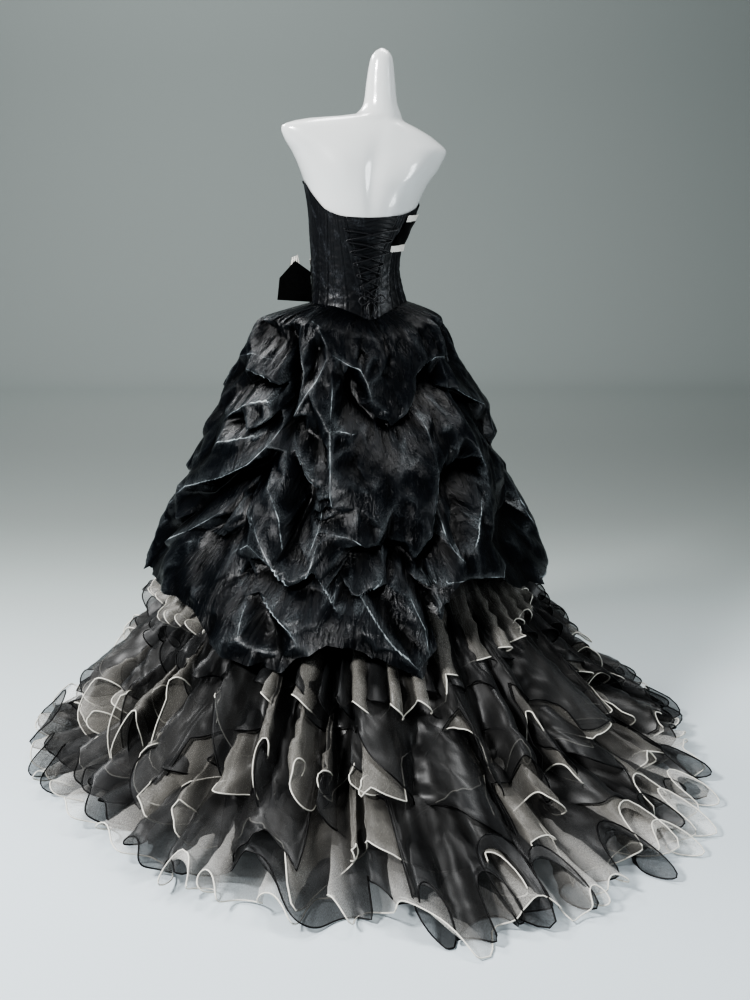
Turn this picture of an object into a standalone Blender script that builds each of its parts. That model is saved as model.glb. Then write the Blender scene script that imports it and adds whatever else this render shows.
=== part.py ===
"""Black corset ballgown on a white limbless dress form.

Units are metres and +Z is up. The origin is the middle of the stand's foot on the floor, +X is
the wearer's left, -Y the front of the gown and +Y its back, where the train lies. Angles around
the gown run from the centre back, positive towards the wearer's left.
"""

import math
from collections import namedtuple

import bmesh
import bpy
from mathutils import Vector

# Driving sizes
CLOTH = 0.002               # thickness of every cloth wall
SEAM_GAP = 0.0003           # pieces sewn edge to edge stand this far apart
LAY_GAP = 0.0004            # a layer that lies on another stands this far off it
FORM_CLEARANCE = 0.0016     # bodice to dress form
EDGE_CLEARANCE = 0.0006     # the bodice's top edge leans closer to the form
LACE_DIAMETER = 0.004
POLE_RADIUS = 0.016
BASE_RADIUS = 0.180
BASE_HEIGHT = 0.012
FORM_BOTTOM = 0.780

# Columns of the rings, all multiples of one another so that facing edges share their points
FORM_COLUMNS = 30
GOWN_COLUMNS = 60
BODICE_STEPS = 5
ABOVE_BODICE = 0.12         # the form's next row above the bodice, as a share of its height
SHOULDER_ROWS_ABOVE = 1.380
HIP_ROWS_BELOW = 0.960

Section = namedtuple("Section", "height left right front back centre_x centre_y turn")

# Dress form: half widths and half depths from the section's own centre, and the centre's shift
FORM = [Section(*row) for row in (
    # height left   right  front  back   cx      cy     turn
    (1.645, 0.004, 0.004, 0.004, 0.004, -0.060, 0.004, 0),
    (1.640, 0.014, 0.014, 0.014, 0.014, -0.060, 0.004, 0),
    (1.622, 0.026, 0.026, 0.026, 0.026, -0.059, 0.004, 0),
    (1.570, 0.034, 0.034, 0.034, 0.034, -0.057, 0.004, 0),
    (1.520, 0.040, 0.040, 0.040, 0.042, -0.056, 0.004, 0),
    (1.494, 0.058, 0.052, 0.046, 0.050, -0.054, 0.002, 0),
    (1.480, 0.190, 0.062, 0.050, 0.056, -0.050, 0.000, 0),
    (1.464, 0.232, 0.098, 0.058, 0.066, -0.046, 0.000, 0),
    (1.436, 0.210, 0.164, 0.068, 0.080, -0.030, 0.000, 0),
    (1.404, 0.180, 0.204, 0.084, 0.092, -0.020, 0.000, 0),
    (1.370, 0.153, 0.196, 0.104, 0.102, -0.010, 0.000, 0),
    (1.330, 0.131, 0.172, 0.124, 0.109, -0.003, 0.000, 0),
    (1.290, 0.119, 0.153, 0.133, 0.110, 0.000, 0.000, 0),
    (1.250, 0.115, 0.138, 0.129, 0.107, 0.000, 0.000, 0),
    (1.210, 0.114, 0.118, 0.116, 0.102, 0.000, 0.000, 0),
    (1.170, 0.112, 0.102, 0.103, 0.097, 0.000, 0.000, 0),
    (1.130, 0.111, 0.098, 0.094, 0.093, 0.000, 0.000, 0),
    (1.090, 0.111, 0.105, 0.090, 0.091, 0.000, 0.000, 0),
    (1.040, 0.118, 0.121, 0.094, 0.097, 0.000, 0.000, 0),
    (0.980, 0.134, 0.137, 0.104, 0.112, 0.000, 0.000, 0),
    (0.890, 0.146, 0.146, 0.114, 0.130, 0.000, 0.000, 0),
    (0.800, 0.142, 0.140, 0.108, 0.122, 0.000, 0.000, 0),
    (FORM_BOTTOM, 0.122, 0.120, 0.090, 0.102, 0.000, 0.000, 0),
)]

# Underskirt that carries the ruffles
FOUNDATION = [Section(*row) for row in (
    # height left   right  front  back   cx     cy     turn
    (0.900, 0.200, 0.178, 0.155, 0.180, 0.000, 0.000, 0),
    (0.650, 0.305, 0.268, 0.230, 0.352, 0.000, 0.000, 5),
    (0.500, 0.365, 0.315, 0.270, 0.450, 0.000, 0.000, 7),
    (0.420, 0.395, 0.340, 0.290, 0.500, 0.000, 0.000, 8),
    (0.340, 0.428, 0.370, 0.312, 0.552, 0.000, 0.000, 8),
    (0.200, 0.485, 0.430, 0.355, 0.625, 0.000, 0.030, 8),
    (0.090, 0.535, 0.485, 0.400, 0.690, 0.000, 0.060, 8),
    (0.004, 0.575, 0.525, 0.435, 0.750, 0.000, 0.090, 8),
)]

# Outer shape of the gathered overskirt between its tacks
OVERSKIRT = [Section(*row) for row in (
    # height left   right  front  back   cx     cy     turn
    (1.060, 0.220, 0.190, 0.150, 0.152, 0.000, 0.000, 0),
    (1.000, 0.238, 0.206, 0.165, 0.168, 0.000, 0.000, 0),
    (0.920, 0.268, 0.228, 0.200, 0.225, 0.000, 0.000, 1),
    (0.860, 0.294, 0.252, 0.235, 0.272, 0.000, 0.000, 2),
    (0.780, 0.327, 0.296, 0.265, 0.335, 0.000, 0.000, 3),
    (0.700, 0.362, 0.328, 0.290, 0.400, 0.000, 0.000, 4),
    (0.620, 0.398, 0.350, 0.320, 0.460, 0.000, 0.000, 5),
    (0.540, 0.442, 0.378, 0.345, 0.520, 0.000, 0.000, 6),
    (0.460, 0.488, 0.410, 0.370, 0.580, 0.000, 0.000, 7),
    (0.400, 0.520, 0.434, 0.392, 0.622, 0.000, 0.000, 8),
    (0.300, 0.566, 0.474, 0.420, 0.690, 0.000, 0.000, 8),
)]

# Heights that run around the gown: angle in degrees, height
WAIST_SEAM = ((-180, 1.000), (-135, 1.036), (-90, 1.050), (-45, 1.046), (-20, 1.030), (0, 1.014),
              (20, 1.030), (45, 1.046), (90, 1.050), (135, 1.036), (180, 1.000))
BODICE_TOP = ((-180, 1.312), (-165, 1.335), (-140, 1.345), (-115, 1.322), (-90, 1.288),
              (-60, 1.262), (-30, 1.246), (0, 1.242), (30, 1.244), (55, 1.262), (75, 1.306),
              (95, 1.338), (120, 1.338), (145, 1.347), (165, 1.337), (180, 1.312))
OVERSKIRT_HEM = ((-180, 0.390), (-155, 0.430), (-130, 0.385), (-105, 0.425), (-73, 0.408),
                 (-48, 0.420), (-30, 0.478), (-16, 0.490), (-8, 0.385), (-2, 0.322), (6, 0.352),
                 (18, 0.378), (30, 0.318), (42, 0.325), (56, 0.390), (78, 0.402), (94, 0.394),
                 (115, 0.430), (140, 0.388), (160, 0.430), (180, 0.390))

# Tacks and folds of the overskirt: from one place to another, how far the cloth stands out
# there (less than nothing where it is drawn in), and how wide the fold is
Fold = namedtuple("Fold", "from_angle from_height to_angle to_height out width")
FOLDS = [Fold(*row) for row in (
    # from          to            out     width
    (43, 0.788, 43, 0.788, -0.040, 0.045),
    (7, 0.792, -1, 0.772, -0.040, 0.040),
    (-39, 0.700, -15, 0.704, -0.034, 0.042),
    (55, 0.664, 55, 0.664, -0.046, 0.050),
    (60, 0.532, 46, 0.536, -0.044, 0.046),
    (20, 0.608, 20, 0.608, -0.038, 0.045),
    (4, 0.552, 2, 0.520, -0.044, 0.045),
    (27, 0.532, 14, 0.484, -0.042, 0.045),
    (-43, 0.528, -24, 0.492, -0.036, 0.044),
    (-42, 0.400, -34, 0.440, -0.022, 0.045),
    (-80, 0.760, -74, 0.700, -0.030, 0.045),
    (-88, 0.560, -78, 0.520, -0.030, 0.050),
    (92, 0.770, 80, 0.720, -0.036, 0.050),
    (102, 0.560, 96, 0.600, -0.036, 0.050),
    (128, 0.690, 128, 0.690, -0.036, 0.050),
    (150, 0.520, 142, 0.560, -0.032, 0.050),
    (170, 0.740, 170, 0.740, -0.032, 0.050),
    (178, 0.540, 170, 0.500, -0.032, 0.050),
    (-146, 0.690, -146, 0.690, -0.032, 0.050),
    (-150, 0.520, -158, 0.540, -0.030, 0.050),
    (-118, 0.760, -112, 0.640, -0.032, 0.050),
    (-122, 0.500, -122, 0.500, -0.030, 0.050),
    (28, 0.950, 20, 0.640, 0.020, 0.030),
    (-1, 0.760, -13, 0.560, 0.018, 0.030),
    (-22, 0.880, -30, 0.740, 0.016, 0.030),
    (66, 0.620, 92, 0.500, 0.022, 0.045),
    (-62, 0.640, -76, 0.480, 0.020, 0.045),
    (40, 0.420, 36, 0.340, 0.016, 0.040),
)]

# Rings of the ruffles' hems and how they wave
Waves = namedtuple("Waves", "count hem amplitude curl lift uneven")
WAVES = {
    # hem ring: height, left, right, front, back, cx, cy, turn
    "ivory_short": Waves(14, Section(0.330, 0.526, 0.440, 0.388, 0.640, 0, 0.000, 8),
                         0.012, 0.30, 0.010, 0.5),
    "black_short": Waves(14, Section(0.262, 0.592, 0.502, 0.442, 0.735, 0, 0.000, 8),
                         0.016, 0.35, 0.012, 1.7),
    "upper": Waves(14, Section(0.130, 0.700, 0.614, 0.510, 0.870, 0, 0.060, 8),
                   0.026, 0.40, 0.022, 2.9),
    "middle": Waves(14, Section(0.085, 0.735, 0.650, 0.545, 0.905, 0, 0.085, 8),
                    0.026, 0.40, 0.016, 2.9),
    "lower": Waves(14, Section(0.046, 0.800, 0.718, 0.645, 0.970, 0, 0.145, 8),
                   0.026, 0.40, 0.014, 2.9),
    "floor": Waves(14, Section(0.0080, 0.852, 0.745, 0.765, 1.018, 0, 0.207, 8),
                   0.022, 0.35, 0.008, 5.3),
}

# Ruffle tiers from the top down. stand_off is the middle of the wall's top edge from the
# underskirt, bow_out and bow_down bend the way down from straight, and a lined tier has a second
# layer under it, which is longer than it
Tier = namedtuple("Tier", "name waves colour top stand_off bow_out bow_down lining")
Lining = namedtuple("Lining", "name colour under longer")
TIERS = [Tier(*row) for row in (
    ("ruffle_ivory_short", "ivory_short", "ivory", 0.500, 0.0034, 1.5, 1.0, None),
    ("ruffle_black_short", "black_short", "black", 0.420, 0.0035, 1.7, 1.0, None),
    ("flounce_black_upper", "upper", "black", 0.340, 0.0069, 1.25, 1.0,
     Lining("flounce_ivory_upper", "ivory", 0.0031, 0.010)),
    ("flounce_black_middle", "middle", "black", 0.270, 0.0071, 1.45, 1.0,
     Lining("flounce_ivory_middle", "ivory", 0.0031, 0.010)),
    ("flounce_black_lower", "lower", "black", 0.200, 0.0078, 2.25, 0.9,
     Lining("flounce_ivory_lower", "ivory", 0.0030, 0.010)),
    ("floor_ruffle_black", "floor", "black", 0.096, 0.0081, 1.0, 0.55,
     Lining("floor_tulle_ivory", "tulle", 0.0042, 0.014)),
)]
LINING_TOP = 0.0029         # a lining's top edge from the ruffle it is sewn in with
COLUMNS_PER_WAVE = 5
TIER_STEPS = 2
HEM_SAMPLES = 720           # places on a hem's ring where its length is measured
WAVE_DRIFTS = (0.7, 0.4)    # the waves are uneven: slow and quick drift of their phase
WAVE_SIZES = 0.25           # and of their size

# Seams of the panels, in degrees
BODICE_SEAMS = {"back_left": (0, 54), "side_left": (54, 96), "front": (96, 270),
                "side_right": (-90, -54), "back_right": (-54, 0)}
SKIRT_SEAMS = {"back_centre": (-24, 24), "back_left": (24, 66), "side_left": (66, 132),
               "front": (132, 228), "side_right": (-132, -66), "back_right": (-66, -24)}
FOUNDATION_SEAMS = {"back_right": (-48, 0), "back_left": (0, 48), "left_back": (48, 84),
                    "left_front": (84, 132), "front_left": (132, 180),
                    "front_right": (180, 228), "right_front": (-132, -84),
                    "right_back": (-84, -48)}

# Open lacing at the centre back: half width in degrees by height
LACING_OPENING = ((1.000, 1.2), (1.045, 1.2), (1.242, 29.0), (1.300, 29.0))
LACING_TOP = 1.226
LACING_BOTTOM = 1.062
LACING_CROSSINGS = 6
LACING_SHARES = (0.3, 0.7)  # points of a lace between two edges of the opening
LACING_SPREAD = 0.10        # half of a lace's stretch on each edge, as a share of one crossing
LACING_INSET = 3.0          # degrees from the opening's edge to the lace's turning points
LACE_CLEARANCE = 0.0014     # a lace bridges the hollow between two points of the back
MODESTY_COLUMNS = 6
MODESTY_GAP = 0.003         # radians between the modesty panel and the laced edges
MODESTY_SHARE = 0.7         # its thickness as a share of the other cloth's

COLOURS = {
    # name: colour, roughness, metallic
    "satin": ((0.012, 0.012, 0.018), 0.32, 0.0),
    "bodice": ((0.014, 0.014, 0.018), 0.42, 0.0),
    "velvet": ((0.003, 0.003, 0.004), 0.95, 0.0),
    "black": ((0.020, 0.020, 0.022), 0.55, 0.0),
    "ivory": ((0.760, 0.730, 0.680), 0.50, 0.0),
    "tulle": ((0.820, 0.800, 0.760), 0.60, 0.0),
    "cord": ((0.015, 0.015, 0.017), 0.50, 0.0),
    "form": ((0.860, 0.860, 0.850), 0.18, 0.0),
    "steel": ((0.620, 0.630, 0.640), 0.28, 1.0),
}


def between(table, at):
    """Value of a two-column table at a place, straight between its rows."""
    for (low, first), (high, second) in zip(table, table[1:]):
        if low <= at <= high:
            return first + (second - first) * (at - low) / (high - low)
    return table[0][1] if at < table[0][0] else table[-1][1]


def around(table, angle):
    """Value of a table that runs once around the gown."""
    return between(table, (math.degrees(angle) + 180.0) % 360.0 - 180.0)


def section_at(table, height):
    """Section at a height, straight between the table's rows."""
    for upper, lower in zip(table, table[1:]):
        if lower.height <= height <= upper.height:
            share = (upper.height - height) / (upper.height - lower.height)
            return Section(*(a + (b - a) * share for a, b in zip(upper, lower)))
    nearest = table[0] if height > table[0].height else table[-1]
    return nearest._replace(height=height)


def grown(section, out):
    """The same section, wider by a distance on every side."""
    return section._replace(left=section.left + out, right=section.right + out,
                            front=section.front + out, back=section.back + out)


def ring_point(section, angle):
    """Point of an egg-shaped ring made of four quarter ellipses."""
    side = section.left if math.sin(angle) > 0 else section.right
    depth = section.back if math.cos(angle) > 0 else section.front
    turn = math.radians(section.turn)
    x = side * math.sin(angle)
    y = depth * math.cos(angle)
    return Vector((x * math.cos(turn) + y * math.sin(turn) + section.centre_x,
                   y * math.cos(turn) - x * math.sin(turn) + section.centre_y,
                   section.height))


def column_angles(count):
    return [2 * math.pi * index / count for index in range(count)]


def plan_normals(ring):
    """Outward directions in plan along a closed ring of points that runs clockwise from above."""
    normals = []
    for index, _ in enumerate(ring):
        along = ring[(index + 1) % len(ring)] - ring[index - 1]
        normals.append(Vector((-along.y, along.x, 0)).normalized())
    return normals


def grid_triangles(rows, columns, closed):
    """Corner numbers of the triangles that cover a grid, all split along the same diagonal."""
    triangles = []
    for row in range(rows - 1):
        for column in range(columns if closed else columns - 1):
            following = (column + 1) % columns
            corner = [row * columns + column, row * columns + following,
                      (row + 1) * columns + following, (row + 1) * columns + column]
            triangles.append((corner[0], corner[1], corner[2]))
            triangles.append((corner[0], corner[2], corner[3]))
    return triangles


def material(name):
    """Principled material of one of the gown's colours."""
    found = bpy.data.materials.get(name)
    if found:
        return found
    colour, roughness, metallic = COLOURS[name]
    made = bpy.data.materials.new(name)
    made.use_nodes = True
    shader = made.node_tree.nodes["Principled BSDF"]
    shader.inputs["Base Color"].default_value = (*colour, 1.0)
    shader.inputs["Roughness"].default_value = roughness
    shader.inputs["Metallic"].default_value = metallic
    made.diffuse_color = (*colour, 1.0)
    return made


def add_object(name, data, colour, parent):
    """Put a mesh or curve in the gown's collection, under its empty."""
    data.materials.append(material(colour))
    made = bpy.data.objects.new(name, data)
    bpy.data.collections["ballgown"].objects.link(made)
    made.parent = parent
    return made


def add_mesh(name, points, faces, colour, parent):
    """Closed or open mesh from points and faces, with its faces made to point out."""
    data = bpy.data.meshes.new(name)
    shape = bmesh.new()
    corners = [shape.verts.new(point) for point in points]
    for face in faces:
        shape.faces.new([corners[index] for index in face])
    bmesh.ops.recalc_face_normals(shape, faces=shape.faces)
    shape.to_mesh(data)
    shape.free()
    data.shade_smooth()
    data.set_sharp_from_angle(angle=math.radians(40))
    return add_object(name, data, colour, parent)


def add_panel(name, outer, inner, colour, parent):
    """Sewn panel: an outer and an inner grid of points, joined around their edges."""
    rows, columns = len(outer), len(outer[0])
    points = [point for row in outer for point in row] + [point for row in inner for point in row]
    count = rows * columns
    front = grid_triangles(rows, columns, False)
    faces = front + [(c + count, b + count, a + count) for a, b, c in front]
    rim = [(0, column) for column in range(columns)]
    rim += [(row, columns - 1) for row in range(1, rows)]
    rim += [(rows - 1, column) for column in range(columns - 2, -1, -1)]
    rim += [(row, 0) for row in range(rows - 2, 0, -1)]
    edge = [row * columns + column for row, column in rim]
    for index, corner in enumerate(edge):
        following = edge[(index + 1) % len(edge)]
        faces.append((corner, following, following + count))
        faces.append((corner, following + count, corner + count))
    return add_mesh(name, points, faces, colour, parent)


def add_ring_wall(name, grid, colour, parent):
    """Ruffle: a closed ring of cloth, given its thickness evenly to both sides."""
    points = [point for row in grid for point in row]
    faces = grid_triangles(len(grid), len(grid[0]), True)
    made = add_mesh(name, points, faces, colour, parent)
    wall = made.modifiers.new("cloth", "SOLIDIFY")
    wall.thickness = CLOTH
    wall.offset = 0.0
    return made


def add_cord(name, points, colour, parent):
    """Round lace through points, with closed ends."""
    data = bpy.data.curves.new(name, "CURVE")
    data.dimensions = "3D"
    data.bevel_depth = LACE_DIAMETER / 2
    data.bevel_resolution = 2
    data.use_fill_caps = True
    line = data.splines.new("POLY")
    line.points.add(len(points) - 1)
    for place, point in zip(line.points, points):
        place.co = (*point, 1.0)
    return add_object(name, data, colour, parent)


def parted(outer, inner, first, last):
    """Columns of a wall's two closed grids, with both end columns drawn back from the seam."""
    count = len(outer[0])
    cuts = [[[row[column % count].copy() for column in range(first, last + 1)] for row in grid]
            for grid in (outer, inner)]
    for ring, outer_row, inner_row in zip(outer, *cuts):
        for end, column, away in ((0, first, 1), (-1, last, -1)):
            along = ring[(column + 1) % count] - ring[(column - 1) % count]
            shift = along.normalized() * (away * SEAM_GAP / 2)
            outer_row[end] += shift
            inner_row[end] += shift
    return cuts


def column_of(degrees, count):
    return round(degrees / 360.0 * count)


def torso_point(angle, height, out):
    """Point on the dress form's shape, moved out."""
    return ring_point(grown(section_at(FORM, height), out), angle)


def add_form(parent):
    """Dress form: a lofted torso on a pole and a round foot."""
    angles = column_angles(FORM_COLUMNS)
    grid = [[ring_point(section, angle) for angle in angles]
            for section in FORM if section.height > SHOULDER_ROWS_ABOVE]
    steps = BODICE_STEPS
    shares = [1.0 + ABOVE_BODICE] + [step / steps for step in range(steps, -1, -1)]
    grid += [[bodice_row(share, angle, 0.0, 0.0) for angle in angles] for share in shares]
    grid += [[ring_point(section, angle) for angle in angles]
             for section in FORM if section.height < HIP_ROWS_BELOW]
    points = [point for row in grid for point in row]
    faces = grid_triangles(len(grid), FORM_COLUMNS, True)
    faces.append(list(range(FORM_COLUMNS)))
    faces.append(list(range(len(points) - FORM_COLUMNS, len(points))))
    add_mesh("form_torso", points, faces, "form", parent)
    bpy.ops.mesh.primitive_cylinder_add(
        vertices=24, radius=POLE_RADIUS, depth=FORM_BOTTOM - BASE_HEIGHT - 2 * SEAM_GAP,
        location=(0, 0, (FORM_BOTTOM + BASE_HEIGHT) / 2))
    adopt("form_pole", "steel", parent)
    bpy.ops.mesh.primitive_cylinder_add(vertices=32, radius=BASE_RADIUS, depth=BASE_HEIGHT,
                                        location=(0, 0, BASE_HEIGHT / 2))
    adopt("form_base", "steel", parent)


def adopt(name, colour, parent):
    """Name the primitive just added and move it to the gown's collection."""
    made = bpy.context.object
    made.name = name
    made.data.name = name
    for holder in list(made.users_collection):
        holder.objects.unlink(made)
    made.data.materials.append(material(colour))
    bpy.data.collections["ballgown"].objects.link(made)
    made.parent = parent
    return made


def bodice_row(share, angle, out, lean=FORM_CLEARANCE - EDGE_CLEARANCE):
    """Point of the bodice, a share of the way up from the waist seam to its top edge."""
    low = around(WAIST_SEAM, angle)
    high = around(BODICE_TOP, angle)
    closer = lean * max(0.0, share * BODICE_STEPS - BODICE_STEPS + 1)
    return torso_point(angle, low + (high - low) * share, out - closer)


def on_bodice(angle, height, out):
    """Point on the flat-sided rows of the bodice at a height, moved out."""
    low = around(WAIST_SEAM, angle)
    high = around(BODICE_TOP, angle)
    place = min(BODICE_STEPS - 1e-6, max(0.0, (height - low) / (high - low) * BODICE_STEPS))
    step = math.floor(place)
    below = bodice_row(step / BODICE_STEPS, angle, FORM_CLEARANCE + CLOTH + out)
    above = bodice_row((step + 1) / BODICE_STEPS, angle, FORM_CLEARANCE + CLOTH + out)
    return below.lerp(above, place - step)


def add_bodice(parent):
    """Boned panels of the corset, open at the back where it laces, over a modesty panel."""
    shares = [step / BODICE_STEPS for step in range(BODICE_STEPS, -1, -1)]
    for name, (start, end) in BODICE_SEAMS.items():
        first = column_of(start, GOWN_COLUMNS)
        last = column_of(end, GOWN_COLUMNS)
        walls = []
        for out in (FORM_CLEARANCE + CLOTH, FORM_CLEARANCE):
            grid = []
            for share in shares:
                row = []
                for column in range(first, last + 1):
                    angle = 2 * math.pi * column / GOWN_COLUMNS
                    row.append(bodice_row(share, opened(angle, share, start, end), out))
                grid.append(row)
            walls.append(grid)
        draw_back(*walls)
        add_panel("bodice_" + name, walls[0], walls[1], "bodice", parent)
    add_modesty(shares, parent)


def draw_back(outer, inner):
    """Draw both end columns of a smooth panel back by half a seam gap."""
    for outer_row, inner_row in zip(outer, inner):
        for end, beside in ((0, 1), (-1, -2)):
            shift = (outer_row[beside] - outer_row[end]).normalized() * (SEAM_GAP / 2)
            outer_row[end] += shift
            inner_row[end] += shift


def lacing_half_angle(share):
    """Half of the lacing's opening, in radians, at a share of the bodice's height."""
    low = around(WAIST_SEAM, 0.0)
    high = around(BODICE_TOP, 0.0)
    return math.radians(between(LACING_OPENING, low + (high - low) * share))


def opened(angle, share, start, end):
    """Squeeze a back panel's columns between the lacing's edge and its side seam."""
    half = lacing_half_angle(share)
    if start == 0:
        seam = math.radians(end)
        return half + (seam - half) * angle / seam
    if end == 0:
        seam = math.radians(-start)
        return -half + (seam - half) * angle / seam
    return angle


def add_modesty(shares, parent):
    """Plain panel that shows between the laced edges."""
    walls = []
    for out in (FORM_CLEARANCE + CLOTH * MODESTY_SHARE, FORM_CLEARANCE):
        grid = []
        for share in shares:
            half = lacing_half_angle(share) - MODESTY_GAP
            row = [bodice_row(share, -half + 2 * half * column / MODESTY_COLUMNS, out)
                   for column in range(MODESTY_COLUMNS + 1)]
            grid.append(row)
        walls.append(grid)
    add_panel("bodice_modesty", walls[0], walls[1], "bodice", parent)


def lace_point(side, height, out):
    """Place where a lace crosses the edge of the opening."""
    half = math.radians(between(LACING_OPENING, height) + LACING_INSET)
    return on_bodice(side * half, height, out)


def add_laces(parent):
    """Two laces that cross down the back, one over the other, and their bow with free ends."""
    step = (LACING_TOP - LACING_BOTTOM) / LACING_CROSSINGS
    under = LACE_DIAMETER / 2 + LACE_CLEARANCE
    over = under + LACE_DIAMETER + LAY_GAP
    for name, side, out in (("lace_under", 1, under), ("lace_over", -1, over)):
        route = []
        for crossing in range(LACING_CROSSINGS + 1):
            height = LACING_TOP - step * crossing
            turn = side if crossing % 2 == 0 else -side
            route.append(lace_point(turn, height + step * LACING_SPREAD, out))
            route.append(lace_point(turn, height - step * LACING_SPREAD, out))
            for share in LACING_SHARES:
                if crossing < LACING_CROSSINGS:
                    place = turn * (1 - 2 * share)
                    route.append(lace_point(place, height - step * share, out))
        add_cord(name, route, "cord", parent)
    add_bow(over + LACE_DIAMETER + LAY_GAP - BOW_SINK, parent)


# Bow of the lacing: sideways, up and out from its knot, in metres
BOW_KNOT_HEIGHT = 1.062
BOW_LOOPS = ((-0.004, -0.004, 0.000), (-0.014, 0.006, 0.001), (-0.026, 0.010, 0.002),
             (-0.034, 0.002, 0.002), (-0.027, -0.009, 0.002), (-0.013, -0.006, 0.004),
             (0.000, 0.002, 0.005), (0.012, 0.007, 0.005), (0.024, 0.006, 0.003),
             (0.031, -0.004, 0.002), (0.024, -0.013, 0.001), (0.012, -0.009, 0.000),
             (0.005, -0.003, 0.000))
LACE_END_LEFT = ((0.0030, -0.0074, 0.000), (0.009, -0.016, 0.000), (0.012, -0.024, 0.001),
                 (0.011, -0.032, 0.002), (0.006, -0.038, 0.003), (0.006, -0.045, 0.004))
LACE_END_RIGHT = ((-0.0030, -0.0066, 0.000), (-0.010, -0.016, 0.000), (-0.013, -0.024, 0.001),
                  (-0.012, -0.031, 0.002), (-0.009, -0.037, 0.003), (-0.011, -0.043, 0.004))
BOW_SINK = 0.0018           # the bow settles between the laces under it


def add_bow(out, parent):
    """Small flat bow at the waist and the lace's two free ends."""
    knot = torso_point(0, BOW_KNOT_HEIGHT, FORM_CLEARANCE + CLOTH + out)
    for name, route in (("lace_bow", BOW_LOOPS), ("lace_end_left", LACE_END_LEFT),
                        ("lace_end_right", LACE_END_RIGHT)):
        points = [knot + Vector((side, away, up)) for side, up, away in route]
        add_cord(name, points, "cord", parent)


# Sash: a velvet band from under the right arm, down across the front, to the left hip
SASH_PATH = ((-52, 1.212), (-90, 1.216), (-135, 1.190), (-180, 1.150), (-225, 1.118),
             (-262, 1.104))
SASH_WIDTH = 0.062
SASH_STEPS = 18
SASH_END_OUT = 0.0006       # the sash lies close at its ends
SASH_OUT = 0.0022           # and bridges the bodice's hollows between them
EDGING_WIDTH = 0.014


def sash_grid(start, end, low, high, wall):
    """Grid of points on the bodice between two angles, low and high of the sash's middle."""
    grid = []
    table = tuple((-angle, height) for angle, height in SASH_PATH)
    for share in (1.0, 0.5, 0.0):
        row = []
        for step in range(SASH_STEPS + 1):
            degrees = start + (end - start) * step / SASH_STEPS
            middle = between(table, -degrees)
            height = middle + low + (high - low) * share
            out = SASH_END_OUT if step in (0, SASH_STEPS) else SASH_OUT
            row.append(on_bodice(math.radians(degrees), height, out + wall))
        grid.append(row)
    return grid


def add_sash(parent):
    """Velvet band with a pale pleated edging along both sides."""
    start, end = SASH_PATH[0][0], SASH_PATH[-1][0]
    half = SASH_WIDTH / 2
    strips = (("sash_band", -half, half, "velvet"),
              ("sash_edging_top", half + SEAM_GAP, half + EDGING_WIDTH, "ivory"),
              ("sash_edging_bottom", -half - EDGING_WIDTH, -half - SEAM_GAP, "ivory"))
    for name, low, high, colour in strips:
        outer = sash_grid(start, end, low, high, CLOTH)
        inner = sash_grid(start, end, low, high, 0.0)
        add_panel(name, outer, inner, colour, parent)


# Tail of the sash: a pointed leaf that stands out from the left hip, and its outlines from its
# lower inner corner, across and up
TAIL_BASE = (0.1200, 0.012, 1.052)
TAIL_LEAN = -0.16
TAIL_OUTLINE = ((0.000, 0.000), (0.084, 0.006), (0.078, 0.058), (0.040, 0.098), (0.003, 0.072))
TIP_OUTLINE = ((0.0405, 0.0985), (0.050, 0.086), (0.046, 0.104), (0.036, 0.110), (0.030, 0.088))
TIP_AWAY = -0.0026          # the tip lies behind the tail


def add_tail(parent):
    """Pointed velvet end of the sash and its pale tip."""
    for name, corners, colour, away in (("sash_tail", TAIL_OUTLINE, "velvet", 0.0),
                                        ("sash_tail_tip", TIP_OUTLINE, "ivory", TIP_AWAY)):
        flat = bpy.data.curves.new(name, "CURVE")
        flat.dimensions = "2D"
        flat.fill_mode = "BOTH"
        flat.extrude = CLOTH / 2
        line = flat.splines.new("POLY")
        line.points.add(len(corners) - 1)
        line.use_cyclic_u = True
        for place, (across, up) in zip(line.points, corners):
            place.co = (across, up, 0.0, 1.0)
        made = add_object(name, flat, colour, parent)
        made.location = Vector(TAIL_BASE) + Vector((0, away, 0))
        made.rotation_euler = (math.radians(90), 0, TAIL_LEAN)


OVERSKIRT_SHARES = (0.0, 0.022, 0.07, 0.16, 0.26, 0.36, 0.46, 0.56, 0.66, 0.76, 0.87, 1.0)
FOLD_RADIUS = 0.40          # turns an angle on the overskirt into a length for the folds
DEEPEST_FOLD = -0.048
SPREAD_HEIGHT = 0.045       # below the waist seam the cloth fills out within this height


def fold_offset(angle, height):
    """How far the overskirt stands in or out of its plain shape at a place."""
    total = 0.0
    for fold in FOLDS:
        along = math.radians(fold.to_angle - fold.from_angle) * FOLD_RADIUS
        rise = fold.to_height - fold.from_height
        degrees = (math.degrees(angle) - fold.from_angle + 180.0) % 360.0 - 180.0
        across = math.radians(degrees) * FOLD_RADIUS
        up = height - fold.from_height
        length = along * along + rise * rise
        share = 0.0 if length < 1e-9 else (across * along + up * rise) / length
        share = min(1.0, max(0.0, share))
        gap = math.hypot(across - share * along, up - share * rise)
        total += fold.out * math.exp(-(gap / fold.width) ** 2)
    return max(total, DEEPEST_FOLD)


def overskirt_point(angle, drop_share):
    """Point of the overskirt, a share of the way from the waist seam down to its hem."""
    waist = around(WAIST_SEAM, angle) - SEAM_GAP
    hem = around(OVERSKIRT_HEM, angle)
    height = waist + (hem - waist) * drop_share
    seam = torso_point(angle, height, FORM_CLEARANCE + CLOTH)
    full = ring_point(section_at(OVERSKIRT, height), angle)
    spread = min(1.0, (waist - height) / SPREAD_HEIGHT)
    spread = math.sin(spread * math.pi / 2)
    point = seam.lerp(full, spread)
    away = Vector((math.sin(angle), math.cos(angle), 0))
    return point + away * fold_offset(angle, height) * spread


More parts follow.
